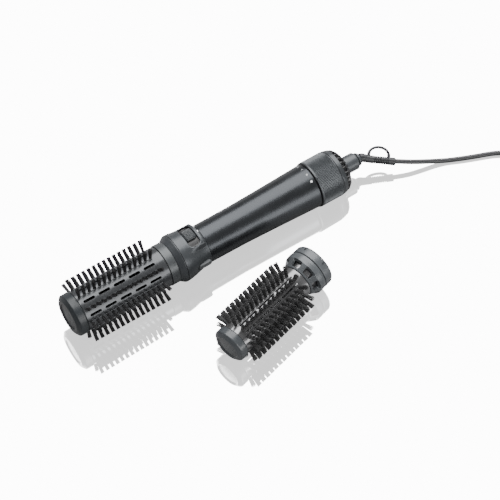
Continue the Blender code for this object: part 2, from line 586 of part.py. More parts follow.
def tie(kit, inner, outer, high):
    """Flat strap round the coil's turns."""
    clear, thick, half = 0.0006, 0.0007, 0.0030
    strap = boxes("coil_tie", [Matrix.LocRotScale(
        Vector(((inner + outer) / 2, 0, high / 2 + (clear + thick) / 2)), None,
        Vector((outer - inner + 2 * (clear + thick), 2 * half, high + clear + thick)))],
        MAT["tie"], kit)
    hole = boxes("tie_hole", [Matrix.LocRotScale(
        Vector(((inner + outer) / 2, 0, high / 2 - 0.0005)), None,
        Vector((outer - inner + 2 * clear, 3 * half, high + 2 * clear + 0.0010)))],
        None, kit, CUTTERS)
    for piece in (strap, hole):
        piece.location = (*WIND_CENTRE, 0)
        piece.rotation_euler = (0, 0, TIE_TURN)
    combine(strap, hole)


def shape_section(corners, along, wide, thick):
    """Move four corners to a centred rectangle across the plug."""
    for corner in corners:
        corner.co = (along, math.copysign(wide / 2, corner.co.y),
                     math.copysign(thick / 2, corner.co.z))


def plug(kit):
    """Flat two-pin plug with its tapered tail against the coil."""
    reach = WIND_R + WIND_HALF + GAP + PLUG_TAIL * math.sin(PLUG_HEADING - PLUG_TURN)
    start = (WIND_CENTRE[0] + reach * math.cos(PLUG_TURN),
             WIND_CENTRE[1] + reach * math.sin(PLUG_TURN), PLUG_THICK / 2)
    axis = empty("plug_axis", start, (0, 0, PLUG_HEADING), kit)
    bm = bmesh.new()
    bmesh.ops.create_cube(bm, size=1)
    face = [side for side in bm.faces if side.normal.x > 0.9][0]
    tail = [corner for corner in bm.verts if corner.co.x < 0]
    shape_section(tail, 0.0, 2 * PLUG_TAIL, 2 * PLUG_TAIL)
    shape_section(face.verts, *PLUG_SECTIONS[0])
    for section in PLUG_SECTIONS[1:]:
        face = bmesh.ops.extrude_discrete_faces(bm, faces=[face])["faces"][0]
        shape_section(face.verts, *section)
    body = from_bmesh("plug_body", bm, MAT["plug"], axis)
    bevel = body.modifiers.new("soft_edges", "BEVEL")
    bevel.width = 0.0014
    bevel.segments = 2
    for side, name in ((1, "plug_pin_left"), (-1, "plug_pin_right")):
        end = PLUG_SECTIONS[-1][0]
        pin = turned(name, [
            (end + GAP + PIN_LONG, 0.0), (end + GAP + PIN_LONG, PIN_R - 0.0007),
            (end + GAP + PIN_LONG - 0.0010, PIN_R), (end + GAP, PIN_R), (end + GAP, 0.0)],
            MAT["brass"], axis, 12)
        pin.location = (0, side * PIN_APART / 2, 0)


def finish_meshes():
    """Apply each piece's modifiers and shade its round faces smooth."""
    bpy.context.view_layer.update()
    graph = bpy.context.evaluated_depsgraph_get()
    pieces = [piece for piece in PARTS.objects if piece.type == "MESH"]
    made = [bpy.data.meshes.new_from_object(piece.evaluated_get(graph)) for piece in pieces]
    for piece, mesh in zip(pieces, made):
        piece.modifiers.clear()
        piece.data = mesh
        mesh.shade_smooth()
        mesh.set_sharp_from_angle(angle=math.radians(35))


def build():
    kit = empty("kit", (KIT_X, KIT_Y, 0), (0, 0, 0))
    tool = empty("tool_axis", (0, 0, TOOL_HEIGHT), (0, TOOL_TILT, 0), kit)
    spare = empty("small_head_axis", SPARE_PLACE, (0, 0, SPARE_YAW), kit)
    brush_head(tool)
    drive(tool)
    switch_housing(tool)
    handle(tool)
    rear_end(tool)
    heater(tool)
    fan(tool)
    small_head(spare)
    strain_relief(kit)
    lead(kit)
    plug(kit)


clear_scene()
PARTS = new_collection("hot_air_brush")
CUTTERS = new_collection("cutters")
MAT = {
    "cap": material("cap_plastic", (0.060, 0.066, 0.074), 0.38),
    "barrel": material("barrel_gloss_grey", (0.36, 0.37, 0.38), 0.28, 0.35),
    "silver": material("barrel_silver", (0.62, 0.62, 0.62), 0.20, 0.90),
    "base": material("base_ring_grey", (0.16, 0.17, 0.18), 0.35),
    "hub": material("inner_plastic", (0.030, 0.030, 0.032), 0.55),
    "bristle": material("nylon_bristle", (0.012, 0.012, 0.013), 0.50),
    "tuft": material("soft_bristle", (0.016, 0.017, 0.018), 0.60),
    "gear": material("gear_acetal", (0.55, 0.54, 0.50), 0.45),
    "steel": material("motor_steel", (0.55, 0.55, 0.56), 0.32, 1.0),
    "black": material("black_trim", (0.014, 0.015, 0.016), 0.42),
    "housing": material("housing_anthracite", (0.075, 0.080, 0.086), 0.36),
    "button": material("button_grey", (0.150, 0.158, 0.165), 0.42),
    "board": material("circuit_board", (0.02, 0.10, 0.05), 0.50),
    "handle": material("handle_anthracite", (0.055, 0.059, 0.064), 0.33),
    "selector": material("selector_anthracite", (0.070, 0.074, 0.080), 0.40),
    "band": material("band_grey", (0.115, 0.122, 0.130), 0.34),
    "screen": material("screen_mesh", (0.10, 0.10, 0.10), 0.60, 0.5),
    "boss": material("boss_anthracite", (0.075, 0.080, 0.086), 0.36),
    "relief": material("relief_rubber", (0.040, 0.042, 0.045), 0.50),
    "lead": material("lead_pvc", (0.045, 0.047, 0.050), 0.45),
    "mica": material("mica_sheet", (0.62, 0.55, 0.42), 0.50),
    "wire": material("heating_wire", (0.45, 0.42, 0.38), 0.35, 1.0),
    "collar": material("collar_anthracite", (0.085, 0.091, 0.098), 0.38),
    "tie": material("tie_strap", (0.020, 0.020, 0.020), 0.70),
    "plug": material("plug_plastic", (0.040, 0.042, 0.045), 0.40),
    "brass": material("plug_brass", (0.72, 0.66, 0.45), 0.25, 1.0),
}
build()
finish_meshes()
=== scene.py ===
"""Looks of the hot air brush kit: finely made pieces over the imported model, lights and camera.

The brush is made in its own frame, TOOL, whose X axis is its axis from the bristle end to the
lead. "turn" is an angle round that axis, from straight up towards -Y. The small head has such a
frame too, SPARE. Every size is in metres.
"""
import math
import random

import bmesh
import bpy
from mathutils import Matrix, Vector


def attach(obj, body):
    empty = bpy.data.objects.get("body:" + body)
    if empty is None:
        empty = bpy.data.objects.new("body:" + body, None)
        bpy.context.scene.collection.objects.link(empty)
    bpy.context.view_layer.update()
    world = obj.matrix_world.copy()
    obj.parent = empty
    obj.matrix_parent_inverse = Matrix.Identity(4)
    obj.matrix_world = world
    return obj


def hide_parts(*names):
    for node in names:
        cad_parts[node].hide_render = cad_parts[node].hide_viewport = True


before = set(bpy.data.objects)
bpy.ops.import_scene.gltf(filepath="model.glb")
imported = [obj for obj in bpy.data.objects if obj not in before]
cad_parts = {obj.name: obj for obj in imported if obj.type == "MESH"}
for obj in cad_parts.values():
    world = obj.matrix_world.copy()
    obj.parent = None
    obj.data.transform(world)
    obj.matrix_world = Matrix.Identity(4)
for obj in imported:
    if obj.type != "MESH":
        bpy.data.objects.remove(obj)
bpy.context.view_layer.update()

# ---- where the bodies lie, as in the CAD model -----------------------------------------------
KIT = Vector((-0.0212, 0.0495, 0.0))
TOOL = Matrix.Translation(KIT + Vector((0, 0, 0.02896))) @ Matrix.Rotation(
    math.radians(2.06), 4, "Y")
SPARE = Matrix.Translation(KIT + Vector((-0.0474, -0.1051, 0.02743))) @ Matrix.Rotation(
    math.radians(13.8), 4, "Z")

# ---- brush sizes -----------------------------------------------------------------------------
CAP_FRONT, CAP_REAR, CAP_R, CAP_PLUG_R, CAP_DISC_R = -0.1614, -0.1503, 0.0214, 0.0190, 0.0130
BARREL_FRONT, BARREL_REAR, BARREL_R, BARREL_WALL = -0.1500, -0.0580, 0.02075, 0.0012
BASE_FRONT, BASE_REAR, BASE_R, BASE_BORE = -0.0572, -0.0488, 0.0212, 0.0172
TONGUE, TONGUE_R = 0.0058, 0.0188       # of the base ring, inside the barrel
ROWS, ROW_TURN, TIP_R = 9, math.radians(32.3), 0.0329
TUFTS, TUFT_FIRST, TUFT_PITCH = 15, -0.1463, 0.00558
TUFT_ROOT, TUFT_SPREAD, THREAD_R, RAIL_HALF = 0.00115, 0.00170, 0.00036, 0.0014
SLOTS, SLOT_FIRST, SLOT_PITCH, SLOT_LONG, SLOT_WIDE = 5, -0.1398, 0.0165, 0.0120, 0.0026
NOSE_FRONT, NOSE_REAR, NOSE_FRONT_R, NOSE_REAR_R = -0.0484, -0.0420, 0.0208, 0.0245
LOCK_MARKS = [math.radians(turn) for turn in (38, 158, 278)]
HOUSE_FRONT, HOUSE_REAR, HOUSE_BORE = -0.0417, -0.0131, 0.0179
HOUSE_FRONT_R, HOUSE_REAR_R, PAD_R = 0.02475, 0.0200, 0.0240
ROCKER_TURN, ROCKER_X, POCKET_X, POCKET_FLOOR = math.radians(-11), -0.0247, -0.0246, 0.0213
RELEASE_TURN, RELEASE_X = math.radians(84), -0.0221
HANDLE_FRONT, HANDLE_WAIST, HANDLE_REAR = -0.0128, 0.0270, 0.1126
HANDLE_FRONT_R, HANDLE_REAR_R, NECK_R, NECK_REAR = 0.0196, 0.0228, 0.0202, 0.1404
SELECT_FRONT, SELECT_REAR, SELECT_R, RIDGES = 0.1138, 0.1388, 0.0239, 110
POINTER_TURN, MARK_SIDES = math.radians(23), 24
BAND_REAR, BAND_R, GRILLE_REAR, GRILLE_RIBS = 0.1440, 0.0228, 0.1534, 24
BOSS_REAR, BOSS_R, SWIVEL_REAR, SWIVEL_R = 0.1690, 0.0089, 0.1736, 0.0052

# ---- small head sizes ------------------------------------------------------------------------
S_CAP_FRONT, S_CAP_REAR, S_CAP_R, S_CAP_PLUG_R, S_CAP_DISC_R = (
    -0.0056, 0.0051, 0.0179, 0.0150, 0.0115)
S_BARREL_REAR, S_BARREL_R = 0.0925, 0.0167
S_COLLAR_REAR, S_COLLAR_R, S_LOCK_REAR, S_LOCK_R = 0.1084, 0.0226, 0.1185, 0.0224
S_ROWS, S_ROW_TURN, S_TIP_R = 12, math.radians(12), 0.0290
S_TUFTS, S_TUFT_FIRST, S_TUFT_PITCH = 13, 0.0120, 0.0059
S_TUFT_ROOT, S_TUFT_SPREAD, S_THREAD_R, S_RAIL_HALF = 0.00130, 0.00215, 0.00042, 0.0013
S_SLOTS, S_SLOT_FIRST, S_SLOT_PITCH, S_SLOT_LONG, S_SLOT_WIDE = 3, 0.0242, 0.0247, 0.0224, 0.0018
WINDOWS, WINDOW_TURN, WINDOW_X = 8, math.radians(-19), 0.0975
NOTCHES, NOTCH_TURN = 6, math.radians(33)

CORD_R, CORD_LENGTH = 0.0025, 1.65
RELIEF_ROUTE = [
    (0.1728, 0.0000, 0.0227), (0.1754, -0.0007, 0.0221), (0.1782, -0.0028, 0.0213),
    (0.1815, -0.0052, 0.0202), (0.1870, -0.0087, 0.0187), (0.1950, -0.0138, 0.0166),
    (0.2030, -0.0188, 0.0146)]
CORD_ROUTE = [
    (0.2034, -0.0190, 0.0147), (0.2120, -0.0235, 0.0129), (0.2210, -0.0278, 0.0105),
    (0.2308, -0.0317, 0.0076), (0.2385, -0.0346, 0.0053), (0.2460, -0.0376, 0.0036),
    (0.2530, -0.0407, 0.0026), (0.2600, -0.0440, 0.0026), (0.2690, -0.0481, 0.0026),
    (0.2790, -0.0523, 0.0026), (0.2885, -0.0561, 0.0026), (0.2965, -0.0597, 0.0026),
    (0.3032, -0.0638, 0.0026), (0.3082, -0.0691, 0.0026), (0.3122, -0.0750, 0.0026)]
WIND_CENTRE, WIND_R, WIND_HALF = (0.3490, -0.0815), 0.0275, 0.0077
STRAND = 0.0052         # from one turn of the coil to the next
WIND_ORDER = [(1, -1), (0, -1), (-1, -1), (-1, 0), (0, 0), (-1, 1), (0, 1), (1, 1), (1, 0)]
WIND_START, WIND_END = math.radians(187), math.radians(350)
TIE_TURN = math.radians(-80)
PLUG_TURN, PLUG_HEADING, PLUG_TAIL = math.radians(35), math.radians(85), 0.0038

# ---- view and lights -------------------------------------------------------------------------
VIEW_POINT, VIEW_TURN, VIEW_HEIGHT = (0.01138, 0.03290, 0.0), -33.593, 59.676
VIEW_DISTANCE, LENS, SENSOR = 2.137, 158.4, 36.0
LIGHTS = [      # name, direction, distance, size, strength
    ("overhead_softbox", (0.279, 0.450, 0.843), 1.7, (3.4, 1.7), 6.3),
    ("front_softbox", (0.279, -0.930, 0.230), 1.7, (3.0, 0.75), 5.2)]
WORLD_STRENGTH = 0.22
FLOOR_REACH, FLOOR_TONE, FLOOR_GLOW, FLOOR_MIRROR = 6, 0.26, 1.15, 1.8


# ---- materials -------------------------------------------------------------------------------
def finish(name, colour, roughness, metallic=0.0, grain=0.0, grain_scale=1500.0, spread=0.04,
           **shader_values):
    """A moulded, drawn or rubbery surface: fine grain in the relief and uneven gloss."""
    made = bpy.data.materials.new(name)
    made.use_nodes = True
    nodes, links = made.node_tree.nodes, made.node_tree.links
    shader = nodes["Principled BSDF"]
    shader.inputs["Metallic"].default_value = metallic
    for socket, value in shader_values.items():
        shader.inputs[socket.replace("_", " ")].default_value = value
    place = nodes.new("ShaderNodeTexCoord")
    cloud = nodes.new("ShaderNodeTexNoise")
    cloud.inputs["Scale"].default_value = 90.0
    cloud.inputs["Detail"].default_value = 4.0
    links.new(place.outputs["Object"], cloud.inputs["Vector"])
    gloss = nodes.new("ShaderNodeMapRange")
    gloss.inputs["From Min"].default_value = 0.3
    gloss.inputs["From Max"].default_value = 0.7
    gloss.inputs["To Min"].default_value = roughness - spread
    gloss.inputs["To Max"].default_value = roughness + spread
    links.new(cloud.outputs["Fac"], gloss.inputs["Value"])
    links.new(gloss.outputs["Result"], shader.inputs["Roughness"])
    tint = nodes.new("ShaderNodeMix")
    tint.data_type = "RGBA"
    tint.inputs["A"].default_value = (*[0.90 * part for part in colour], 1)
    tint.inputs["B"].default_value = (*[min(1, 1.10 * part) for part in colour], 1)
    links.new(cloud.outputs["Fac"], tint.inputs["Factor"])
    links.new(tint.outputs["Result"], shader.inputs["Base Color"])
    if grain:
        pits = nodes.new("ShaderNodeTexNoise")
        pits.inputs["Scale"].default_value = grain_scale
        pits.inputs["Detail"].default_value = 2.0
        links.new(place.outputs["Object"], pits.inputs["Vector"])
        relief = nodes.new("ShaderNodeBump")
        relief.inputs["Strength"].default_value = grain
        relief.inputs["Distance"].default_value = 0.0002
        links.new(pits.outputs["Fac"], relief.inputs["Height"])
        links.new(relief.outputs["Normal"], shader.inputs["Normal"])
    return made


def weave(made, scale):
    """Add crossed threads to a finish's relief."""
    nodes, links = made.node_tree.nodes, made.node_tree.links
    place = nodes["Texture Coordinate"]
    heights = []
    for direction in ("X", "Z"):
        wave = nodes.new("ShaderNodeTexWave")
        wave.bands_direction = direction
        wave.inputs["Scale"].default_value = scale
        links.new(place.outputs["Object"], wave.inputs["Vector"])
        heights.append(wave.outputs["Fac"])
    both = nodes.new("ShaderNodeMath")
    both.operation = "MAXIMUM"
    links.new(heights[0], both.inputs[0])
    links.new(heights[1], both.inputs[1])
    relief = nodes.new("ShaderNodeBump")
    relief.inputs["Strength"].default_value = 0.7
    relief.inputs["Distance"].default_value = 0.0004
    links.new(both.outputs["Value"], relief.inputs["Height"])
    links.new(relief.outputs["Normal"], nodes["Principled BSDF"].inputs["Normal"])
    return made


# ---- shape helpers ---------------------------------------------------------------------------
def spot(along, turn, radius):
    """The point at a place along the axis, an angle round it and a distance from it."""
    return Vector((along, -radius * math.sin(turn), radius * math.cos(turn)))


def skin(bm, rings, loop=False):
    """Join rings of points, in order, into one surface. A ring of one point is a pole."""
    made = [[bm.verts.new(point) for point in ring] for ring in rings]
    pairs = list(zip(made, made[1:]))
    if loop:
        pairs.append((made[-1], made[0]))
    for low, high in pairs:
        count = max(len(low), len(high))
        for i in range(count):
            j = (i + 1) % count
            corners = [low[i % len(low)], low[j % len(low)],
                       high[j % len(high)], high[i % len(high)]]
            corners = list(dict.fromkeys(corners))
            if len(corners) > 2:
                bm.faces.new(corners)
    return made


def rounded(outline, radius, steps=4, closed=False):
    """Round the corners of an outline of (X, radius) points, each as far as its sides allow."""
    points = [Vector(point) for point in outline]
    made = []
    for i, corner in enumerate(points):
        if not closed and i in (0, len(points) - 1):
            made.append(corner)
            continue
        before, after = points[i - 1] - corner, points[(i + 1) % len(points)] - corner
        half = before.angle(after) / 2
        reach = min(radius / math.tan(half), 0.45 * before.length, 0.45 * after.length)
        if reach < 0.00002:
            made.append(corner)
            continue
        first, last = corner + before.normalized() * reach, corner + after.normalized() * reach
        for step in range(steps + 1):
            t = step / steps
            made.append((1 - t) ** 2 * first + 2 * t * (1 - t) * corner + t * t * last)
    return [tuple(point) for point in made]


def lathe(bm, outline, steps=128, loop=False):
    """Turn an outline round the X axis; a loop is a ring with a hole through it."""
    skin(bm, [[spot(x, math.tau * i / steps, r) for i in range(steps)] if r > 1e-7
              else [(x, 0, 0)] for x, r in outline], loop)


def fluted(bm, crest, valley, count, share, loop=False, detail=6):
    """Turn an outline whose radius swings between a crest and a valley, count times a turn."""
    steps, rings = count * detail, []
    for (x_high, r_high), (x_low, r_low) in zip(crest, valley):
        ring = []
        for i in range(steps):
            phase = (i % detail) / detail
            dip = max(0.0, min(1.0, 0.5 + (0.5 - share - abs(phase - 0.5)) * detail / 2))
            ring.append(spot(x_high + (x_low - x_high) * dip, math.tau * i / steps,
                             r_high + (r_low - r_high) * dip))
        rings.append(ring)
    skin(bm, rings, loop)


def wrapped(bm, turn, along, long, wide, corner, levels, relief=None, columns=1, fine=0.0008):
    """A rounded rectangle block wrapped round the axis. Each level is (growth, radius), from the
    inside out; wide is measured round the axis at the last level's radius."""
    half_x, half_s, radius = long / 2, wide / 2, levels[-1][1]
    straight = max(1, round((wide - 2 * corner) / fine))
    sides = [-half_s + corner * (1 - math.cos(math.pi / 2 * i / 8)) for i in range(8)]
    sides += [-half_s + corner + (wide - 2 * corner) * i / straight for i in range(straight)]
    sides += [half_s - corner * (1 - math.cos(math.pi / 2 * (8 - i) / 8)) for i in range(9)]

    def ring(growth, level):
        scale = (half_s + growth) / half_s
        upper, lower = [], []
        for s in sides:
            inset = max(0.0, abs(s) - (half_s - corner))
            x = half_x - corner + math.sqrt(max(0.0, corner ** 2 - inset ** 2)) + growth
            upper.append(spot(along + x, turn + s * scale / radius, level))
            lower.append(spot(along - x, turn + s * scale / radius, level))
        return upper, lower

    outlines = [ring(*level) for level in levels]
    made = skin(bm, [upper + lower[::-1] for upper, lower in outlines])
    count = len(sides)
    close_cap(bm, made[0][:count], made[0][count:][::-1], 1, None, None)
    close_cap(bm, made[-1][:count], made[-1][count:][::-1], columns, relief,
              (turn, along, radius))


def close_cap(bm, upper, lower, columns, relief, place):
    """Fill between matching points on two sides, with a relief of height(x, s) if given."""
    lines = []
    for high, low in zip(upper, lower):
        line = [high]
        for i in range(1, columns):
            t = i / columns
            point = high.co.lerp(low.co, t)
            if relief:
                turn, along, radius = place
                around = math.atan2(-point.y, point.z) - turn
                lift = relief(point.x - along, around * radius)
                point = spot(point.x, turn + around, radius + lift)
            line.append(bm.verts.new(point))
        lines.append(line + [low])
    for here, there in zip(lines, lines[1:]):
        for a, b, c, d in zip(here, here[1:], there[1:], there):
            bm.faces.new((a, b, c, d))


def swept(bm, path, radii, sides=20):
    """A round tube along a path, with its own radius at each point and rounded-off ends."""
    points = [Vector(point) for point in path]
    ways = [(b - a).normalized() for a, b in zip(points, points[1:])]
    ways = [ways[0]] + [(a + b).normalized() for a, b in zip(ways, ways[1:])] + [ways[-1]]
    side = ways[0].cross(Vector((0, 0, 1))).normalized()
    rings = [[points[0]]]
    for point, way, radius in zip(points, ways, radii):
        side = (side - way * side.dot(way)).normalized()
        other = way.cross(side)
        rings.append([point + radius * (side * math.cos(math.tau * i / sides)
                                        + other * math.sin(math.tau * i / sides))
                      for i in range(sides)])
    skin(bm, rings + [[points[-1]]])


def smooth_route(points, spacing):
    """Points a fixed distance apart on the smooth curve through a route's points."""
    spots = [Vector(point) for point in points]
    ends = [spots[0] * 2 - spots[1]] + spots + [spots[-1] * 2 - spots[-2]]
    fine = []
    for a, b, c, d in zip(ends, ends[1:], ends[2:], ends[3:]):
        for step in range(20):
            t = step / 20
            fine.append(0.5 * (2 * b + (c - a) * t + (2 * a - 5 * b + 4 * c - d) * t ** 2
                               + (3 * b - a - 3 * c + d) * t ** 3))
    fine.append(spots[-1])
    length = sum((b - a).length for a, b in zip(fine, fine[1:]))
    count = max(2, round(length / spacing))
    chosen, walked, index = [fine[0]], 0.0, 1
    for step in range(1, count):
        goal = length * step / count
        while walked + (fine[index] - fine[index - 1]).length < goal:
            walked += (fine[index] - fine[index - 1]).length
            index += 1
        part = (goal - walked) / (fine[index] - fine[index - 1]).length
        chosen.append(fine[index - 1].lerp(fine[index], part))
    return chosen + [fine[-1]]


def cut(bm, cutters):
    """Take the cutters' space out of a surface and give back the result."""
    objects = []
    for shape in (bm, cutters):
        bmesh.ops.recalc_face_normals(shape, faces=shape.faces)
        mesh = bpy.data.meshes.new("cut")
        shape.to_mesh(mesh)
        shape.free()
        objects.append(bpy.data.objects.new("cut", mesh))
        bpy.context.scene.collection.objects.link(objects[-1])
    change = objects[0].modifiers.new("cut", "BOOLEAN")
    change.object = objects[1]
    change.solver = "EXACT"
    seen = objects[0].evaluated_get(bpy.context.evaluated_depsgraph_get())
    made = bmesh.new()
    made.from_mesh(seen.to_mesh())
    for thing in objects:
        bpy.data.objects.remove(thing, do_unlink=True)
    return made


def piece(name, bm, finish_name, body, *nodes, place=None, sharp=38):
    """Turn a shape into a named piece that rides on a body and stands for CAD nodes."""
    bmesh.ops.recalc_face_normals(bm, faces=bm.faces)
    if place:
        bm.transform(place)
    mesh = bpy.data.meshes.new(name)
    bm.to_mesh(mesh)
    bm.free()
    mesh.shade_smooth()
    mesh.set_sharp_from_angle(angle=math.radians(sharp))
    made = bpy.data.objects.new(name, mesh)
    bpy.context.scene.collection.objects.link(made)
    weighted = made.modifiers.new("even_shading", "WEIGHTED_NORMAL")
    weighted.keep_sharp = True
    mesh.materials.append(MAT[finish_name])
    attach(made, body)
    if nodes:
        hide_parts(*nodes)
    return made


def turned(name, outline, finish_name, body, *nodes, place=TOOL, radius=0.0005, loop=True,
           steps=128):
    """A turned piece with rounded corners, in one call."""
    bm = bmesh.new()
    lathe(bm, rounded(outline, radius, closed=loop), steps, loop)
    return piece(name, bm, finish_name, body, *nodes, place=place)


# ---- brush head and small head ---------------------------------------------------------------
def end_cap(name, front, rear, radius, plug_r, disc_r, finish_name, place, body, node):
    """Skirt with a softly rounded rim, a sloping ring and a sunken, slightly domed disc."""
    outline = rounded([
        (rear + 0.0040, 0.0), (rear + 0.0040, plug_r), (rear, plug_r), (rear, radius),
        (front + 0.0030, radius), (front, radius - 0.0042), (front, disc_r + 0.0016),
        (front + 0.0004, disc_r + 0.0004), (front + 0.0012, disc_r),
        (front + 0.0010, disc_r - 0.002), (front + 0.0004, 0.0)], 0.0022, 5)
    bm = bmesh.new()
    lathe(bm, outline)
    piece(name, bm, finish_name, body, node, place=place, sharp=50)


def slotted_barrel(name, front, rear, radius, slots, steps, finish_name, place, body, node):
    """Thin tube with rows of long rounded slots that have a softened rim."""
    turn, rows, count, first, pitch, long, wide = slots
    bm = bmesh.new()
    inner = radius - BARREL_WALL
    lathe(bm, rounded([(rear, radius), (front, radius), (front, inner), (rear, inner)], 0.0003,
                      3, True), steps, True)
    cutters = bmesh.new()
    for row in range(rows):
        for i in range(count):
            wrapped(cutters, turn + math.tau * row / rows, first + pitch * i, long, wide,
                    0.499 * wide, [(-0.0001, inner - 0.0008), (-0.0001, radius - 0.00035),
                                   (0.00012, radius + 0.00001), (0.0004, radius + 0.0006)])
    piece(name, cut(bm, cutters), finish_name, body, node, place=place, sharp=30)


def tuft(bm, along, turn, base_r, tip_r, lean, chance, root, spread, thick):
    """A bundle of filaments that fans out a little towards its cut tip."""
    ring = [(0.0, 0.0)]
    for share, count in ((0.5, 6), (1.0, 12)):
        ring += [(share * math.cos(math.tau * i / count), share * math.sin(math.tau * i / count))
                 for i in range(count)]
    swing = Matrix.Rotation(turn, 3, "X")
    for across, sideways in ring:
        foot = Vector((along + root * across, root * sideways, base_r))
        head = Vector((along + lean + spread * across + chance.uniform(-1, 1) * 0.00013,
                       spread * sideways + chance.uniform(-1, 1) * 0.00013,
                       tip_r - chance.uniform(0.0, 0.0005)))
        way = (head - foot).normalized()
        side = way.cross(Vector((0, 1, 0))).normalized()
        other = way.cross(side)
        rings = []
        for place, radius in ((foot, thick), (head - way * thick, 0.85 * thick)):
            rings.append([swing @ (place + radius * (side * math.cos(math.tau * i / 5)
                                                     + other * math.sin(math.tau * i / 5)))
                          for i in range(5)])
        skin(bm, rings + [[swing @ head]])


def bristle_row(name, turn, base_r, tip_r, centres, root, spread, thick, rail, finish_name,
                rail_finish, place, body, node):
    """One rail with its row of tufts, which lean out towards the rail's ends. Tips that reach
    the table lie flat on it."""
    chance = random.Random(name)
    long = centres[-1] - centres[0] + 2 * rail
    middle = (centres[0] + centres[-1]) / 2
    bm = bmesh.new()
    wrapped(bm, turn, middle, long, 2 * rail, 0.9 * rail,
            [(0.0, base_r + 0.0001), (0.0, base_r + 0.0004), (-0.0003, base_r + 0.0007)])
    piece(name + "_rail", bm, rail_finish, body, place=place, sharp=60)
    bm = bmesh.new()
    for centre in centres:
        lean = 0.0011 * ((centre - middle) / (centres[-1] - middle)) ** 5
        tuft(bm, centre, turn, base_r + 0.0004, tip_r, lean, chance, root, spread, thick)
    bm.transform(place)
    for corner in bm.verts:
        corner.co.z = max(corner.co.z, 0.0001)
    piece(name, bm, finish_name, body, node, sharp=60)


def brush_head():
    """Cap, slotted barrel, base ring and bristle rows of the head on the brush."""
    body = "brush_head"
    end_cap("end_cap", CAP_FRONT, CAP_REAR, CAP_R, CAP_PLUG_R, CAP_DISC_R, "cap", TOOL, body,
            "head_end_cap")
    between = ROW_TURN + math.pi / ROWS
    slotted_barrel("barrel", BARREL_FRONT, BARREL_REAR, BARREL_R,
                   (between, ROWS, SLOTS, SLOT_FIRST, SLOT_PITCH, SLOT_LONG, SLOT_WIDE),
                   16 * ROWS, "barrel", TOOL, body, "head_barrel")
    base_ring()
    centres = [TUFT_FIRST + TUFT_PITCH * i for i in range(TUFTS)]
    for row in range(ROWS):
        bristle_row(f"bristle_row_{row + 1}", ROW_TURN + math.tau * row / ROWS, BARREL_R, TIP_R,
                    centres, TUFT_ROOT, TUFT_SPREAD, THREAD_R, RAIL_HALF, "bristle", "barrel",
                    TOOL, body, f"bristle_strip_{row + 1}")


def base_ring():
    """Ring behind the barrel, with a dark gap in front of it and shallow locking marks."""
    bm = bmesh.new()
    lathe(bm, rounded([
        (BASE_REAR, BASE_R), (BASE_FRONT, BASE_R), (BASE_FRONT, TONGUE_R),
        (BASE_FRONT - TONGUE, TONGUE_R), (BASE_FRONT - TONGUE, BASE_BORE),
        (BASE_REAR, BASE_BORE)], 0.0003, 3, True), 144, True)
    marks = bmesh.new()
    for turn in LOCK_MARKS:
        wrapped(marks, turn, BASE_REAR - 0.0010, 0.0044, 0.0034, 0.0006,
                [(0, BASE_R - 0.0005), (0, BASE_R + 0.0006)])
    piece("base_ring", cut(bm, marks), "base", "brush_head", "head_base_ring", place=TOOL,
          sharp=30)


def small_head():
    """Cap, bright barrel, collar and tuft rows of the head that lies on the table."""
    body = "small_head"
    end_cap("small_cap", S_CAP_FRONT, S_CAP_REAR, S_CAP_R, S_CAP_PLUG_R, S_CAP_DISC_R,
            "light_cap", SPARE, body, "small_end_cap")
    between = S_ROW_TURN + math.pi / S_ROWS
    slotted_barrel("silver_barrel", S_CAP_REAR + 0.0003, S_BARREL_REAR, S_BARREL_R,
                   (between, S_ROWS, S_SLOTS, S_SLOT_FIRST, S_SLOT_PITCH, S_SLOT_LONG,
                    S_SLOT_WIDE), 12 * S_ROWS, "silver", SPARE, body, "small_barrel")
    collar()
    centres = [S_TUFT_FIRST + S_TUFT_PITCH * i for i in range(S_TUFTS)]
    for row in range(S_ROWS):
        bristle_row(f"small_bristle_row_{row + 1}", S_ROW_TURN + math.tau * row / S_ROWS,
                    S_BARREL_R, S_TIP_R, centres, S_TUFT_ROOT, S_TUFT_SPREAD, S_THREAD_R,
                    S_RAIL_HALF, "tuft", "tuft", SPARE, body, f"small_bristle_strip_{row + 1}")


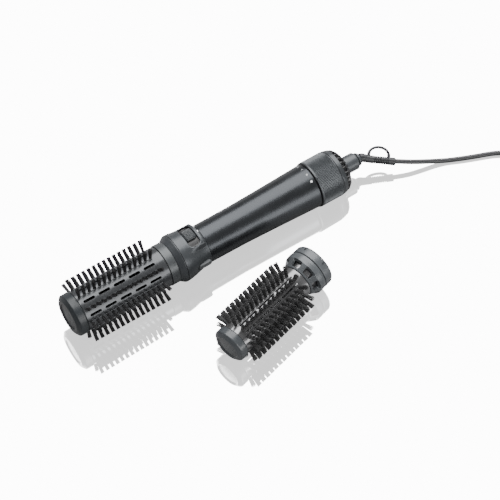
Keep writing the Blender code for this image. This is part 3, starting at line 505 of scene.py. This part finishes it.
def collar():
    """Flared collar with eight rounded windows, the bright sleeve in it and the lock ring."""
    front = S_BARREL_REAR + 0.0003
    bm = bmesh.new()
    lathe(bm, rounded([
        (S_COLLAR_REAR, S_COLLAR_R - 0.0003), (0.1055, S_COLLAR_R), (0.1010, S_COLLAR_R - 0.0002),
        (front + 0.0013, 0.0181), (front, 0.0174), (front, 0.0150), (front - 0.0058, 0.0150),
        (front - 0.0058, 0.0138), (front, 0.0138), (0.1020, 0.0202), (S_COLLAR_REAR, 0.0202)],
        0.0012, 4, True), 144, True)
    holes = bmesh.new()
    for i in range(WINDOWS):
        wrapped(holes, WINDOW_TURN + math.tau * i / WINDOWS, WINDOW_X, 0.0064, 0.0126, 0.0018,
                [(-0.0004, 0.0120), (-0.0002, 0.0190), (0.0002, 0.0212), (0.0010, 0.0240)])
    piece("collar", cut(bm, holes), "collar", "small_head", "small_collar", place=SPARE, sharp=30)
    turned("inner_sleeve", [
        (0.1040, 0.0164), (0.0955, 0.0150), (front, 0.0136), (front - 0.0050, 0.0136),
        (front - 0.0050, 0.0128), (front, 0.0128), (0.0955, 0.0140), (0.1040, 0.0154)],
        "silver", "small_head", place=SPARE, radius=0.0002)
    bm = bmesh.new()
    lathe(bm, rounded([
        (S_LOCK_REAR, S_LOCK_R - 0.0016), (S_LOCK_REAR - 0.0022, S_LOCK_R - 0.0001),
        (S_COLLAR_REAR + 0.0005, S_LOCK_R), (S_COLLAR_REAR + 0.0005, 0.0174),
        (S_LOCK_REAR, 0.0174)], 0.0009, 4, True), 144, True)
    notches = bmesh.new()
    for i in range(NOTCHES):
        wrapped(notches, NOTCH_TURN + math.tau * i / NOTCHES, S_LOCK_REAR - 0.0022, 0.0066,
                0.0022, 0.0006, [(0, S_LOCK_R - 0.0013), (0, S_LOCK_R + 0.0010)])
    piece("lock_ring", cut(bm, notches), "collar", "small_head", "small_lock_ring", place=SPARE,
          sharp=30)


# ---- switch housing --------------------------------------------------------------------------
def ease(value, low, high):
    """0 below low, 1 above high, and smooth between."""
    t = max(0.0, min(1.0, (value - low) / (high - low)))
    return t * t * (3 - 2 * t)


def housing_radius(along, turn):
    """The housing's cone, with the raised pad that carries the rocker blended into it."""
    cone = HOUSE_FRONT_R + (HOUSE_REAR_R - HOUSE_FRONT_R) * ease(along, HOUSE_FRONT, HOUSE_REAR)
    away = abs((turn - ROCKER_TURN + math.pi) % math.tau - math.pi)
    pad = (1 - ease(away, math.radians(35), math.radians(50))) * (
        1 - ease(along, -0.0160, -0.0132))
    return cone + max(0.0, PAD_R + 0.0003 - cone) * pad


def housing():
    """Nose ring, and the switch housing with its two hollows; the rocker's one is black inside as
    painted shade.
    """
    turned("nose_ring_cover", [
        (NOSE_REAR, NOSE_REAR_R), (NOSE_REAR - 0.0008, NOSE_REAR_R + 0.0001),
        (NOSE_FRONT, NOSE_FRONT_R), (NOSE_FRONT, BASE_BORE), (NOSE_REAR, BASE_BORE)],
        "nose", "handle", "nose_ring", radius=0.0006)
    steps, rings, lip = 240, [], 0.0003
    stations = [HOUSE_FRONT + (HOUSE_REAR - HOUSE_FRONT) * i / 40 for i in range(41)]
    insets = [lip] + [0.0] * len(stations) + [lip]
    for along, inset in zip([stations[0]] + stations + [stations[-1]], insets):
        rings.append([spot(along, math.tau * i / steps,
                           housing_radius(along, math.tau * i / steps) - inset)
                      for i in range(steps)])
    for along in (HOUSE_REAR, HOUSE_FRONT):
        rings.append([spot(along, math.tau * i / steps, HOUSE_BORE) for i in range(steps)])
    bm = bmesh.new()
    skin(bm, rings, True)
    hollows = bmesh.new()
    wrapped(hollows, ROCKER_TURN, POCKET_X, 0.0118, 0.0310, 0.0050,
            [(-0.0006, POCKET_FLOOR), (0, POCKET_FLOOR + 0.0005), (0, PAD_R - 0.0004),
             (0.0003, PAD_R), (0.0009, PAD_R + 0.0004), (0.0016, PAD_R + 0.0012)])
    wrapped(hollows, RELEASE_TURN, RELEASE_X, 0.0154, 0.0078, 0.0038,
            [(0, 0.0150), (0, 0.0208), (0.0004, 0.0222), (0.0020, 0.0260)])
    bm = cut(bm, hollows)
    # Painted shade: the walls and floor of the rocker's hollow take the black finish, darker than
    # the housing around them.
    for face in bm.faces:
        middle = face.calc_center_median()
        turn, radius = math.atan2(-middle.y, middle.z), math.hypot(middle.y, middle.z)
        if (abs(middle.x - POCKET_X) < 0.0075 and abs(turn - ROCKER_TURN) < math.radians(45)
                and 0.0190 < radius < housing_radius(middle.x, turn) - 0.0008):
            face.material_index = 1
    made = piece("housing", bm, "housing", "handle", "switch_housing", place=TOOL, sharp=40)
    made.data.materials.append(MAT["black"])


def diamonds(along, around):
    """Height of the rocker's grip: small pyramids, fading out near its edges."""
    pitch, edge = 0.00150, 0.0006
    inside = ease(0.0052 - abs(along), 0, edge) * ease(0.0067 - abs(around), 0, edge)
    crossed = [abs(((along + way * around) / pitch) % 1 - 0.5) * 2 for way in (1, -1)]
    return 0.00050 * inside * (min(crossed) ** 0.8)


def controls():
    """Rocker with its gridded key, and the long release button."""
    bm = bmesh.new()
    wrapped(bm, ROCKER_TURN, ROCKER_X, 0.0108, 0.0143, 0.0018,
            [(0, POCKET_FLOOR + 0.0004), (0, 0.0237), (-0.0003, 0.0242), (-0.0009, 0.0245)],
            relief=diamonds, columns=56, fine=0.0002)
    piece("rocker", bm, "key", "rocker", "rotation_rocker", place=TOOL, sharp=45)
    bm = bmesh.new()
    wrapped(bm, RELEASE_TURN, RELEASE_X, 0.0146, 0.0064, 0.00318,
            [(0, 0.0188), (0, 0.0228), (-0.0004, 0.0233), (-0.0011, 0.0236)])
    piece("release", bm, "button", "release", "release_button", place=TOOL, sharp=45)


def print_mark(bm, turn, along, radius, outline):
    """A thin flat printed shape; its outline is (along, around) about the place."""
    ends = []
    for level in (radius - 0.0002, radius + 0.00005):
        ends.append([bm.verts.new(spot(along + x, turn + s / radius, level)) for x, s in outline])
    count = len(outline)
    bm.faces.new(ends[0])
    bm.faces.new(ends[1])
    for i in range(count):
        j = (i + 1) % count
        bm.faces.new((ends[0][i], ends[0][j], ends[1][j], ends[1][i]))


def round_mark(radius):
    """Outline of a printed dot."""
    return [(radius * math.cos(math.tau * i / MARK_SIDES),
             radius * math.sin(math.tau * i / MARK_SIDES)) for i in range(MARK_SIDES)]


def bar_mark(offset):
    """Outline of a short printed line along the axis."""
    return [(-0.0009, offset - 0.00016), (0.0009, offset - 0.00016), (0.0009, offset + 0.00016),
            (-0.0009, offset + 0.00016)]


def marks():
    """Two arrow heads behind the rocker, and the setting marks in front of the selector."""
    bm = bmesh.new()
    for turn, way in ((-24, -1), (-5, 1)):
        place = -0.0156
        radius = housing_radius(place, math.radians(turn))
        print_mark(bm, math.radians(turn), place, radius + 0.0001,
                   [(0.0009, -0.0011 * way), (-0.0009, -0.0011 * way), (0.0, 0.0013 * way)])
    piece("rotation_arrows", bm, "print", "handle", place=TOOL)
    bm = bmesh.new()
    near = HANDLE_REAR - 0.0039
    radius = HANDLE_FRONT_R + 0.0002 + (HANDLE_REAR_R - HANDLE_FRONT_R - 0.0002) * (
        near - HANDLE_WAIST) / (HANDLE_REAR - HANDLE_WAIST)
    print_mark(bm, math.radians(21), near, radius, round_mark(0.00115))
    for turn, offsets in ((-21, (0.0,)), (-41, (-0.0005, 0.0005))):
        for offset in offsets:
            print_mark(bm, math.radians(turn), near, radius, bar_mark(offset))
    circle = round_mark(0.0009)
    hole = round_mark(0.0006)
    for i in range(MARK_SIDES):
        j = (i + 1) % MARK_SIDES
        print_mark(bm, 0.0, near, radius, [circle[i], circle[j], hole[j], hole[i]])
    piece("setting_marks", bm, "print", "handle", place=TOOL)


# ---- handle and rear end ---------------------------------------------------------------------
def handle():
    """Waisted tube, the dark shoulder in front of the selector and the band behind it."""
    turned("handle_shell", [
        (NECK_REAR, NECK_R), (HANDLE_REAR, NECK_R), (HANDLE_REAR, HANDLE_REAR_R),
        (HANDLE_WAIST + 0.03, HANDLE_FRONT_R + 0.0011), (HANDLE_WAIST, HANDLE_FRONT_R + 0.0002),
        (HANDLE_FRONT, HANDLE_FRONT_R), (HANDLE_FRONT, HANDLE_FRONT_R - 0.0022),
        (HANDLE_WAIST, HANDLE_FRONT_R - 0.0022), (HANDLE_REAR, NECK_R - 0.0016),
        (NECK_REAR, NECK_R - 0.0016)], "handle", "handle", "handle_tube", steps=160)
    turned("shoulder", [
        (SELECT_FRONT - 0.0004, SELECT_R - 0.0001), (HANDLE_REAR + 0.0003, HANDLE_REAR_R - 0.0003),
        (HANDLE_REAR + 0.0003, NECK_R + 0.0003), (SELECT_FRONT - 0.0004, NECK_R + 0.0003)],
        "black", "handle", "shoulder_ring", radius=0.0003, steps=160)
    turned("chamfer_band", [
        (BAND_REAR, BAND_R), (SELECT_REAR + 0.0022, SELECT_R - 0.0004),
        (SELECT_REAR + 0.0004, SELECT_R - 0.0002), (SELECT_REAR + 0.0004, NECK_R + 0.0003),
        (NECK_REAR + 0.0003, NECK_R + 0.0003), (NECK_REAR + 0.0003, NECK_R - 0.0016),
        (BAND_REAR, NECK_R - 0.0016)], "band", "handle", "rear_band", radius=0.0004, steps=160)


def selector():
    """Ring with a fine knurl between plain margins, and a pointer at its front edge."""
    front, rear, low, dip = SELECT_FRONT + 0.0018, SELECT_REAR - 0.0008, NECK_R + 0.0004, 0.0006
    outline = [
        (SELECT_REAR, low, 0), (SELECT_REAR, SELECT_R - 0.0005, 0),
        (SELECT_REAR - 0.0001, SELECT_R - 0.0002, 0), (SELECT_REAR - 0.0005, SELECT_R, 0),
        (rear, SELECT_R, 0), (rear - 0.0003, SELECT_R, dip), (front + 0.0003, SELECT_R, dip),
        (front, SELECT_R, 0), (SELECT_FRONT + 0.0005, SELECT_R, 0),
        (SELECT_FRONT + 0.0001, SELECT_R - 0.0002, 0), (SELECT_FRONT, SELECT_R - 0.0005, 0),
        (SELECT_FRONT, low, 0)]
    bm = bmesh.new()
    fluted(bm, [(x, r) for x, r, depth in outline], [(x, r - depth) for x, r, depth in outline],
           RIDGES, 0.25, True)
    nick = bmesh.new()
    wrapped(nick, POINTER_TURN, SELECT_FRONT, 0.0030, 0.0022, 0.0006,
            [(0, SELECT_R - 0.0006), (0, SELECT_R + 0.0010)])
    piece("selector", cut(bm, nick), "selector", "selector", "selector_ring", place=TOOL,
          sharp=32)


def grille():
    """Domed intake with raised radial ribs over dark gaps, and the mesh behind them."""
    hole = BOSS_R + 0.0004
    dome = [(GRILLE_REAR, hole), (GRILLE_REAR - 0.0001, 0.0104), (GRILLE_REAR - 0.0004, 0.0128),
            (GRILLE_REAR - 0.0011, 0.0152), (GRILLE_REAR - 0.0022, 0.0175),
            (GRILLE_REAR - 0.0036, 0.0195), (GRILLE_REAR - 0.0052, 0.0210),
            (GRILLE_REAR - 0.0066, 0.0220), (BAND_REAR + 0.0003, 0.0225)]
    inside = [(BAND_REAR + 0.0003, BAND_R - 0.0040), (GRILLE_REAR - 0.0048, hole)]
    share = [0, 0.5, 1, 1, 1, 1, 1, 0.8, 0.2]
    valley = [(x - 0.0026 * part, r - 0.0012 * part) for (x, r), part in zip(dome, share)]
    bm = bmesh.new()
    fluted(bm, dome + inside, valley + inside, GRILLE_RIBS, 0.24, True, 8)
    piece("intake_grille", bm, "black", "handle", "rear_grille", place=TOOL, sharp=40)
    turned("boss", [
        (BOSS_REAR - 0.0010, 0.0060), (BOSS_REAR - 0.0010, BOSS_R - 0.0010),
        (BOSS_REAR - 0.0022, BOSS_R), (GRILLE_REAR - 0.0010, BOSS_R),
        (GRILLE_REAR - 0.0060, BOSS_R), (GRILLE_REAR - 0.0060, 0.0058)],
        "boss", "handle", "lead_boss", radius=0.0006)
    turned("swivel", [
        (SWIVEL_REAR, 0.0), (SWIVEL_REAR, 0.0036), (SWIVEL_REAR - 0.0014, SWIVEL_R + 0.0004),
        (SWIVEL_REAR - 0.0030, SWIVEL_R + 0.0017), (BOSS_REAR + 0.0004, SWIVEL_R + 0.0016),
        (BOSS_REAR + 0.0003, SWIVEL_R), (0.1500, SWIVEL_R), (0.1500, 0.0)],
        "boss", "lead_swivel", "lead_swivel", radius=0.0008, loop=False)


# ---- lead ------------------------------------------------------------------------------------
def in_kit(points):
    return [KIT + Vector(point) for point in points]


def strain_relief():
    """Elbowed sleeve that tapers, with ribs along its middle and a plain collar at its end."""
    path = smooth_route(in_kit(RELIEF_ROUTE), 0.00022)
    radii = []
    for i in range(len(path)):
        t = i / (len(path) - 1)
        radius = 0.0046 - 0.0007 * ease(t, 0.0, 0.25)
        if 0.40 < t < 0.82:
            radius -= 0.0008 * ease(math.sin((t - 0.40) / 0.42 * math.tau * 9), -0.2, 0.4)
        if t >= 0.82:
            radius = 0.0039
        radii.append(radius - 0.0006 * ease(t, 0.985, 1.0))
    bm = bmesh.new()
    swept(bm, path, radii, 28)
    piece("lead_sleeve", bm, "relief", "lead_swivel", "strain_relief", sharp=35)
    hanging_loop()


def hanging_loop():
    """Slim loop, thicker where it grows out of the sleeve, that faces the front."""
    route = smooth_route(in_kit(RELIEF_ROUTE), 0.0030)
    along = (route[-1] - route[3]).normalized()
    outward = Vector((0.478, 0.719, 0.505))
    up = (outward - along * outward.dot(along)).normalized()
    middle = (route[3] + route[-2]) / 2 + up * 0.0048 - along * 0.0019
    half, high = 0.0102, 0.0078
    points, radii = [], []
    for step in range(49):
        angle = math.pi * step / 48
        points.append(middle - along * half * math.cos(angle) + up * high * math.sin(angle))
        radii.append(0.0014 + 0.0003 * (1 - ease(min(step, 48 - step), 0, 8)))
    bm = bmesh.new()
    swept(bm, [points[0] - up * 0.0030] + points + [points[-1] - up * 0.0030],
          [radii[0]] + radii + [radii[-1]], 16)
    piece("loop", bm, "relief", "lead_swivel", "hanging_loop")


def coil_points():
    """Points of the wound part: each turn keeps its place and slides over to the next one."""
    total = WIND_END - WIND_START + math.tau * 8
    steps = round(total / math.tau * 40)
    points = []
    for step in range(steps + 1):
        walked = total * step / steps / math.tau
        turn = min(int(walked), len(WIND_ORDER) - 1)
        here = WIND_ORDER[turn]
        after = WIND_ORDER[min(turn + 1, len(WIND_ORDER) - 1)]
        slide = ease(walked - turn, 0.72, 1.0)
        column = here[0] + (after[0] - here[0]) * slide
        layer = here[1] + (after[1] - here[1]) * slide
        angle = WIND_START + walked * math.tau
        radius = WIND_R + STRAND * column
        points.append((WIND_CENTRE[0] + radius * math.cos(angle),
                       WIND_CENTRE[1] + radius * math.sin(angle), WIND_HALF + STRAND * layer))
    return points


def plug_start():
    """Where the plug's tail begins: beside the coil, clear of it."""
    reach = WIND_R + WIND_HALF + 0.0003 + PLUG_TAIL * math.sin(PLUG_HEADING - PLUG_TURN)
    return Vector((WIND_CENTRE[0] + reach * math.cos(PLUG_TURN),
                   WIND_CENTRE[1] + reach * math.sin(PLUG_TURN), 0.0080))


def lead(plug_pieces):
    """One curve from inside the sleeve, along the table, round the coil and into the plug."""
    tail = plug_start()
    heading = Vector((math.cos(PLUG_HEADING), math.sin(PLUG_HEADING), 0))
    route = RELIEF_ROUTE[3:-1] + CORD_ROUTE[1:] + coil_points()
    route += [tuple(tail - heading * 0.0090), tuple(tail + heading * 0.0060)]
    path = smooth_route(in_kit(route), 0.0030)
    data = bpy.data.curves.new("mains_cord", "CURVE")
    data.dimensions = "3D"
    data.bevel_depth = CORD_R
    data.bevel_resolution = 6
    data.use_fill_caps = True
    line = data.splines.new("POLY")
    line.points.add(len(path) - 1)
    for point, place in zip(line.points, path):
        point.co = (*place, 1)
    line.use_smooth = True
    cord = bpy.data.objects.new("mains_cord", data)
    bpy.context.scene.collection.objects.link(cord)
    data.materials.append(MAT["lead"])
    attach(cord, "lead_swivel")
    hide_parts("mains_lead", "lead_coil")


def tie():
    """Woven strap round the coil's turns, a rounded loop of flat band."""
    thick, corner, half_band = 0.0006, 0.0022, 0.0030
    across, up = WIND_HALF + 0.0009 - corner, WIND_HALF - 0.0001 - corner
    middle_z = WIND_HALF + 0.0006
    rings = []
    for side, (x, z) in enumerate(((across, up), (-across, up), (-across, -up), (across, -up))):
        for step in range(7):
            angle = math.pi / 2 * (side + step / 6)
            rings.append([(WIND_R + x + math.cos(angle) * reach, band,
                           middle_z + z + math.sin(angle) * reach)
                          for reach, band in (
                              (corner, -half_band), (corner + thick, -half_band),
                              (corner + thick, half_band), (corner, half_band))])
    bm = bmesh.new()
    skin(bm, rings, True)
    place = (Matrix.Translation(KIT + Vector((*WIND_CENTRE, 0)))
             @ Matrix.Rotation(TIE_TURN, 4, "Z"))
    return piece("cord_tie", bm, "tie", "lead_swivel", "coil_tie", place=place, sharp=50)


def plug():
    """Flat moulded plug: rounded sections from its tail to the pin face, and two pins."""
    place = Matrix.Translation(KIT + plug_start()) @ Matrix.Rotation(PLUG_HEADING, 4, "Z")
    sections = [(0.0, 0.0037, 0.0037), (0.0030, 0.0039, 0.0039), (0.0060, 0.0038, 0.0038),
                (0.0090, 0.0041, 0.0040), (0.0120, 0.0043, 0.0042), (0.0180, 0.0049, 0.0046),
                (0.0220, 0.0058, 0.0052), (0.0260, 0.0090, 0.0062), (0.0300, 0.0125, 0.0072),
                (0.0340, 0.0149, 0.0078), (0.0390, 0.0163, 0.0080), (0.0450, 0.0171, 0.0080),
                (0.0500, 0.0174, 0.0080), (0.0512, 0.0172, 0.0078), (0.0520, 0.0162, 0.0070)]
    bm = bmesh.new()
    rings = [[(0.0, 0.0, 0.0)]]
    for along, wide, high in sections:
        power = 1.0 if along < 0.02 else 0.55
        ring = []
        for i in range(48):
            c, s = math.cos(math.tau * i / 48), math.sin(math.tau * i / 48)
            ring.append((along, wide * math.copysign(abs(c) ** power, c),
                         high * math.copysign(abs(s) ** power, s)))
        rings.append(ring)
    skin(bm, rings + [[(0.0520, 0.0, 0.0)]])
    made = [piece("plug", bm, "plug", "lead_swivel", "plug_body", place=place, sharp=50)]
    for side, name in ((1, "left"), (-1, "right")):
        pin_place = place @ Matrix.Translation((0, side * 0.0093, 0))
        made.append(turned(f"pin_{name}", [
            (0.0523 + 0.0190, 0.0), (0.0523 + 0.0190, 0.0012), (0.0523 + 0.0175, 0.0023),
            (0.0521, 0.0023), (0.0521, 0.0)], "brass", "lead_swivel", f"plug_pin_{name}",
            place=pin_place, radius=0.0008, loop=False, steps=40))
    return made


# ---- carried-over inner pieces, stage, lights and camera -------------------------------------
def carried_over():
    """Give the CAD pieces that stay their finishes."""
    finishes = {
        "head_hub": "hub", "drive_spigot": "hub", "drive_ring_gear": "gear",
        "motor_pinion": "gear", "spin_motor": "steel", "rotation_circuit_board": "board",
        "selector_switch": "board", "dust_screen": "screen", "heater_frame": "mica",
        "heater_coil": "wire", "fan_motor": "steel", "fan_housing": "hub",
        "fan_impeller": "hub"}
    for node, name in finishes.items():
        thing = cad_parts[node]
        for slot in thing.material_slots:
            slot.material = MAT[name]


def stage_floor():
    """White glossy table. Seen directly it mirrors the softbox above it and glows a little, as a
    lit studio sheet does; the pieces themselves are lit by a plain grey table."""
    mesh = bpy.data.meshes.new("floor")
    corners = [(x * FLOOR_REACH, y * FLOOR_REACH, 0)
               for x, y in ((-1, -1), (1, -1), (1, 1), (-1, 1))]
    mesh.from_pydata(corners, [], [(0, 1, 2, 3)])
    floor = bpy.data.objects.new("floor", mesh)
    bpy.context.scene.collection.objects.link(floor)
    made = bpy.data.materials.new("white_studio_sheet")
    made.use_nodes = True
    nodes, links = made.node_tree.nodes, made.node_tree.links
    plain = nodes["Principled BSDF"]
    plain.inputs["Base Color"].default_value = (FLOOR_TONE, FLOOR_TONE, FLOOR_TONE, 1)
    plain.inputs["Roughness"].default_value = 0.6
    glow = nodes.new("ShaderNodeEmission")
    glow.inputs["Strength"].default_value = FLOOR_GLOW
    mirror = nodes.new("ShaderNodeBsdfGlossy")
    mirror.inputs["Color"].default_value = (FLOOR_MIRROR, FLOOR_MIRROR, FLOOR_MIRROR, 1)
    mirror.inputs["Roughness"].default_value = 0.02
    lit = nodes.new("ShaderNodeAddShader")
    links.new(glow.outputs["Emission"], lit.inputs[0])
    links.new(mirror.outputs["BSDF"], lit.inputs[1])
    path = nodes.new("ShaderNodeLightPath")
    choice = nodes.new("ShaderNodeMixShader")
    links.new(path.outputs["Is Camera Ray"], choice.inputs["Fac"])
    links.new(plain.outputs["BSDF"], choice.inputs[1])
    links.new(lit.outputs["Shader"], choice.inputs[2])
    links.new(choice.outputs["Shader"], nodes["Material Output"].inputs["Surface"])
    mesh.materials.append(made)


def softbox(name, direction, distance, size, strength):
    data = bpy.data.lights.new(name, "AREA")
    data.shape = "RECTANGLE"
    data.size, data.size_y = size
    data.energy = strength * size[0] * size[1] * math.pi
    light = bpy.data.objects.new(name, data)
    bpy.context.scene.collection.objects.link(light)
    way = Vector(direction).normalized()
    light.matrix_world = Matrix.Translation(way * distance) @ facing(way)


def facing(way):
    """Rotation whose Z axis is the given way and whose X axis stays level along X."""
    across = Vector((0, 1, 0)) if abs(way.y) < 0.95 else Vector((0, 0, 1))
    x_axis = across.cross(way).normalized()
    if x_axis.x < 0:
        x_axis = -x_axis
    y_axis = way.cross(x_axis)
    return Matrix((x_axis, y_axis, way)).transposed().to_4x4()


def lights():
    """Two softboxes and an even white surround."""
    for row in LIGHTS:
        softbox(*row)
    world = bpy.data.worlds.new("studio")
    world.use_nodes = True
    around = world.node_tree.nodes["Background"]
    around.inputs["Color"].default_value = (1, 1, 1, 1)
    around.inputs["Strength"].default_value = WORLD_STRENGTH
    bpy.context.scene.world = world


def camera():
    turn, height = math.radians(VIEW_TURN), math.radians(VIEW_HEIGHT)
    back = Vector((math.sin(turn) * math.cos(height), -math.cos(turn) * math.cos(height),
                   math.sin(height)))
    data = bpy.data.cameras.new("view")
    data.lens, data.sensor_width = LENS, SENSOR
    data.clip_end = 20.0
    view = bpy.data.objects.new("view", data)
    bpy.context.scene.collection.objects.link(view)
    view.location = Vector(VIEW_POINT) + back * VIEW_DISTANCE
    view.rotation_euler = back.to_track_quat("Z", "Y").to_euler()
    bpy.context.scene.camera = view


MAT = {
    "cap": finish("cap_plastic", (0.018, 0.021, 0.024), 0.38, grain=0.10, Specular_IOR_Level=0.4),
    "light_cap": finish("small_cap_plastic", (0.050, 0.055, 0.060), 0.26, grain=0.06),
    "barrel": finish("barrel_grey", (0.070, 0.073, 0.077), 0.25, metallic=0.55, grain=0.04),
    "silver": finish("barrel_silver", (0.21, 0.21, 0.214), 0.23, metallic=0.8, spread=0.03),
    "base": finish("base_ring_grey", (0.062, 0.067, 0.070), 0.36, metallic=0.3, grain=0.06),
    "nose": finish("nose_grey", (0.045, 0.049, 0.054), 0.38, metallic=0.3, grain=0.06),
    "hub": finish("inner_plastic", (0.010, 0.010, 0.011), 0.55, grain=0.10),
    "bristle": finish("nylon_bristle", (0.022, 0.022, 0.023), 0.42),
    "tuft": finish("soft_bristle", (0.045, 0.045, 0.046), 0.45),
    "gear": finish("gear_acetal", (0.55, 0.54, 0.50), 0.45, grain=0.05),
    "steel": finish("motor_steel", (0.50, 0.50, 0.51), 0.32, metallic=1.0, grain=0.05),
    "black": finish("black_trim", (0.006, 0.006, 0.007), 0.34, grain=0.06),
    "housing": finish("housing_anthracite", (0.055, 0.060, 0.065), 0.36, metallic=0.4,
                      grain=0.06),
    "button": finish("button_grey", (0.075, 0.080, 0.085), 0.40, grain=0.06),
    "key": finish("rocker_grey", (0.030, 0.033, 0.036), 0.32, grain=0.06),
    "board": finish("circuit_board", (0.02, 0.10, 0.05), 0.50, grain=0.20, grain_scale=500.0),
    "handle": finish("handle_anthracite", (0.044, 0.047, 0.051), 0.28, metallic=0.75,
                     grain=0.05, Specular_IOR_Level=0.3),
    "selector": finish("selector_anthracite", (0.060, 0.065, 0.070), 0.36, metallic=0.4,
                       grain=0.05),
    "band": finish("band_grey", (0.050, 0.054, 0.058), 0.34, metallic=0.4, grain=0.05),
    "screen": finish("screen_mesh", (0.05, 0.05, 0.05), 0.55, metallic=0.6, grain=0.8,
                     grain_scale=2500.0),
    "boss": finish("boss_anthracite", (0.056, 0.061, 0.066), 0.36, metallic=0.3, grain=0.05),
    "relief": finish("relief_rubber", (0.018, 0.019, 0.021), 0.42, grain=0.12),
    "lead": finish("lead_pvc", (0.020, 0.021, 0.023), 0.38, grain=0.12),
    "mica": finish("mica_sheet", (0.62, 0.55, 0.42), 0.50, grain=0.20),
    "wire": finish("heating_wire", (0.45, 0.42, 0.38), 0.35, metallic=1.0),
    "collar": finish("collar_anthracite", (0.082, 0.089, 0.095), 0.33, metallic=0.2,
                     grain=0.08),
    "tie": weave(finish("tie_strap", (0.010, 0.010, 0.010), 0.75), 900.0),
    "plug": finish("plug_plastic", (0.018, 0.019, 0.021), 0.36, grain=0.10),
    "brass": finish("plug_brass", (0.66, 0.60, 0.42), 0.24, metallic=1.0, grain=0.05),
    "print": finish("white_print", (0.75, 0.76, 0.78), 0.50, grain=0.05),
}

camera()
pins = plug()
lead(pins + [tie()])
strain_relief()
brush_head()
small_head()
housing()
controls()
handle()
selector()
grille()
marks()
carried_over()
stage_floor()
lights()
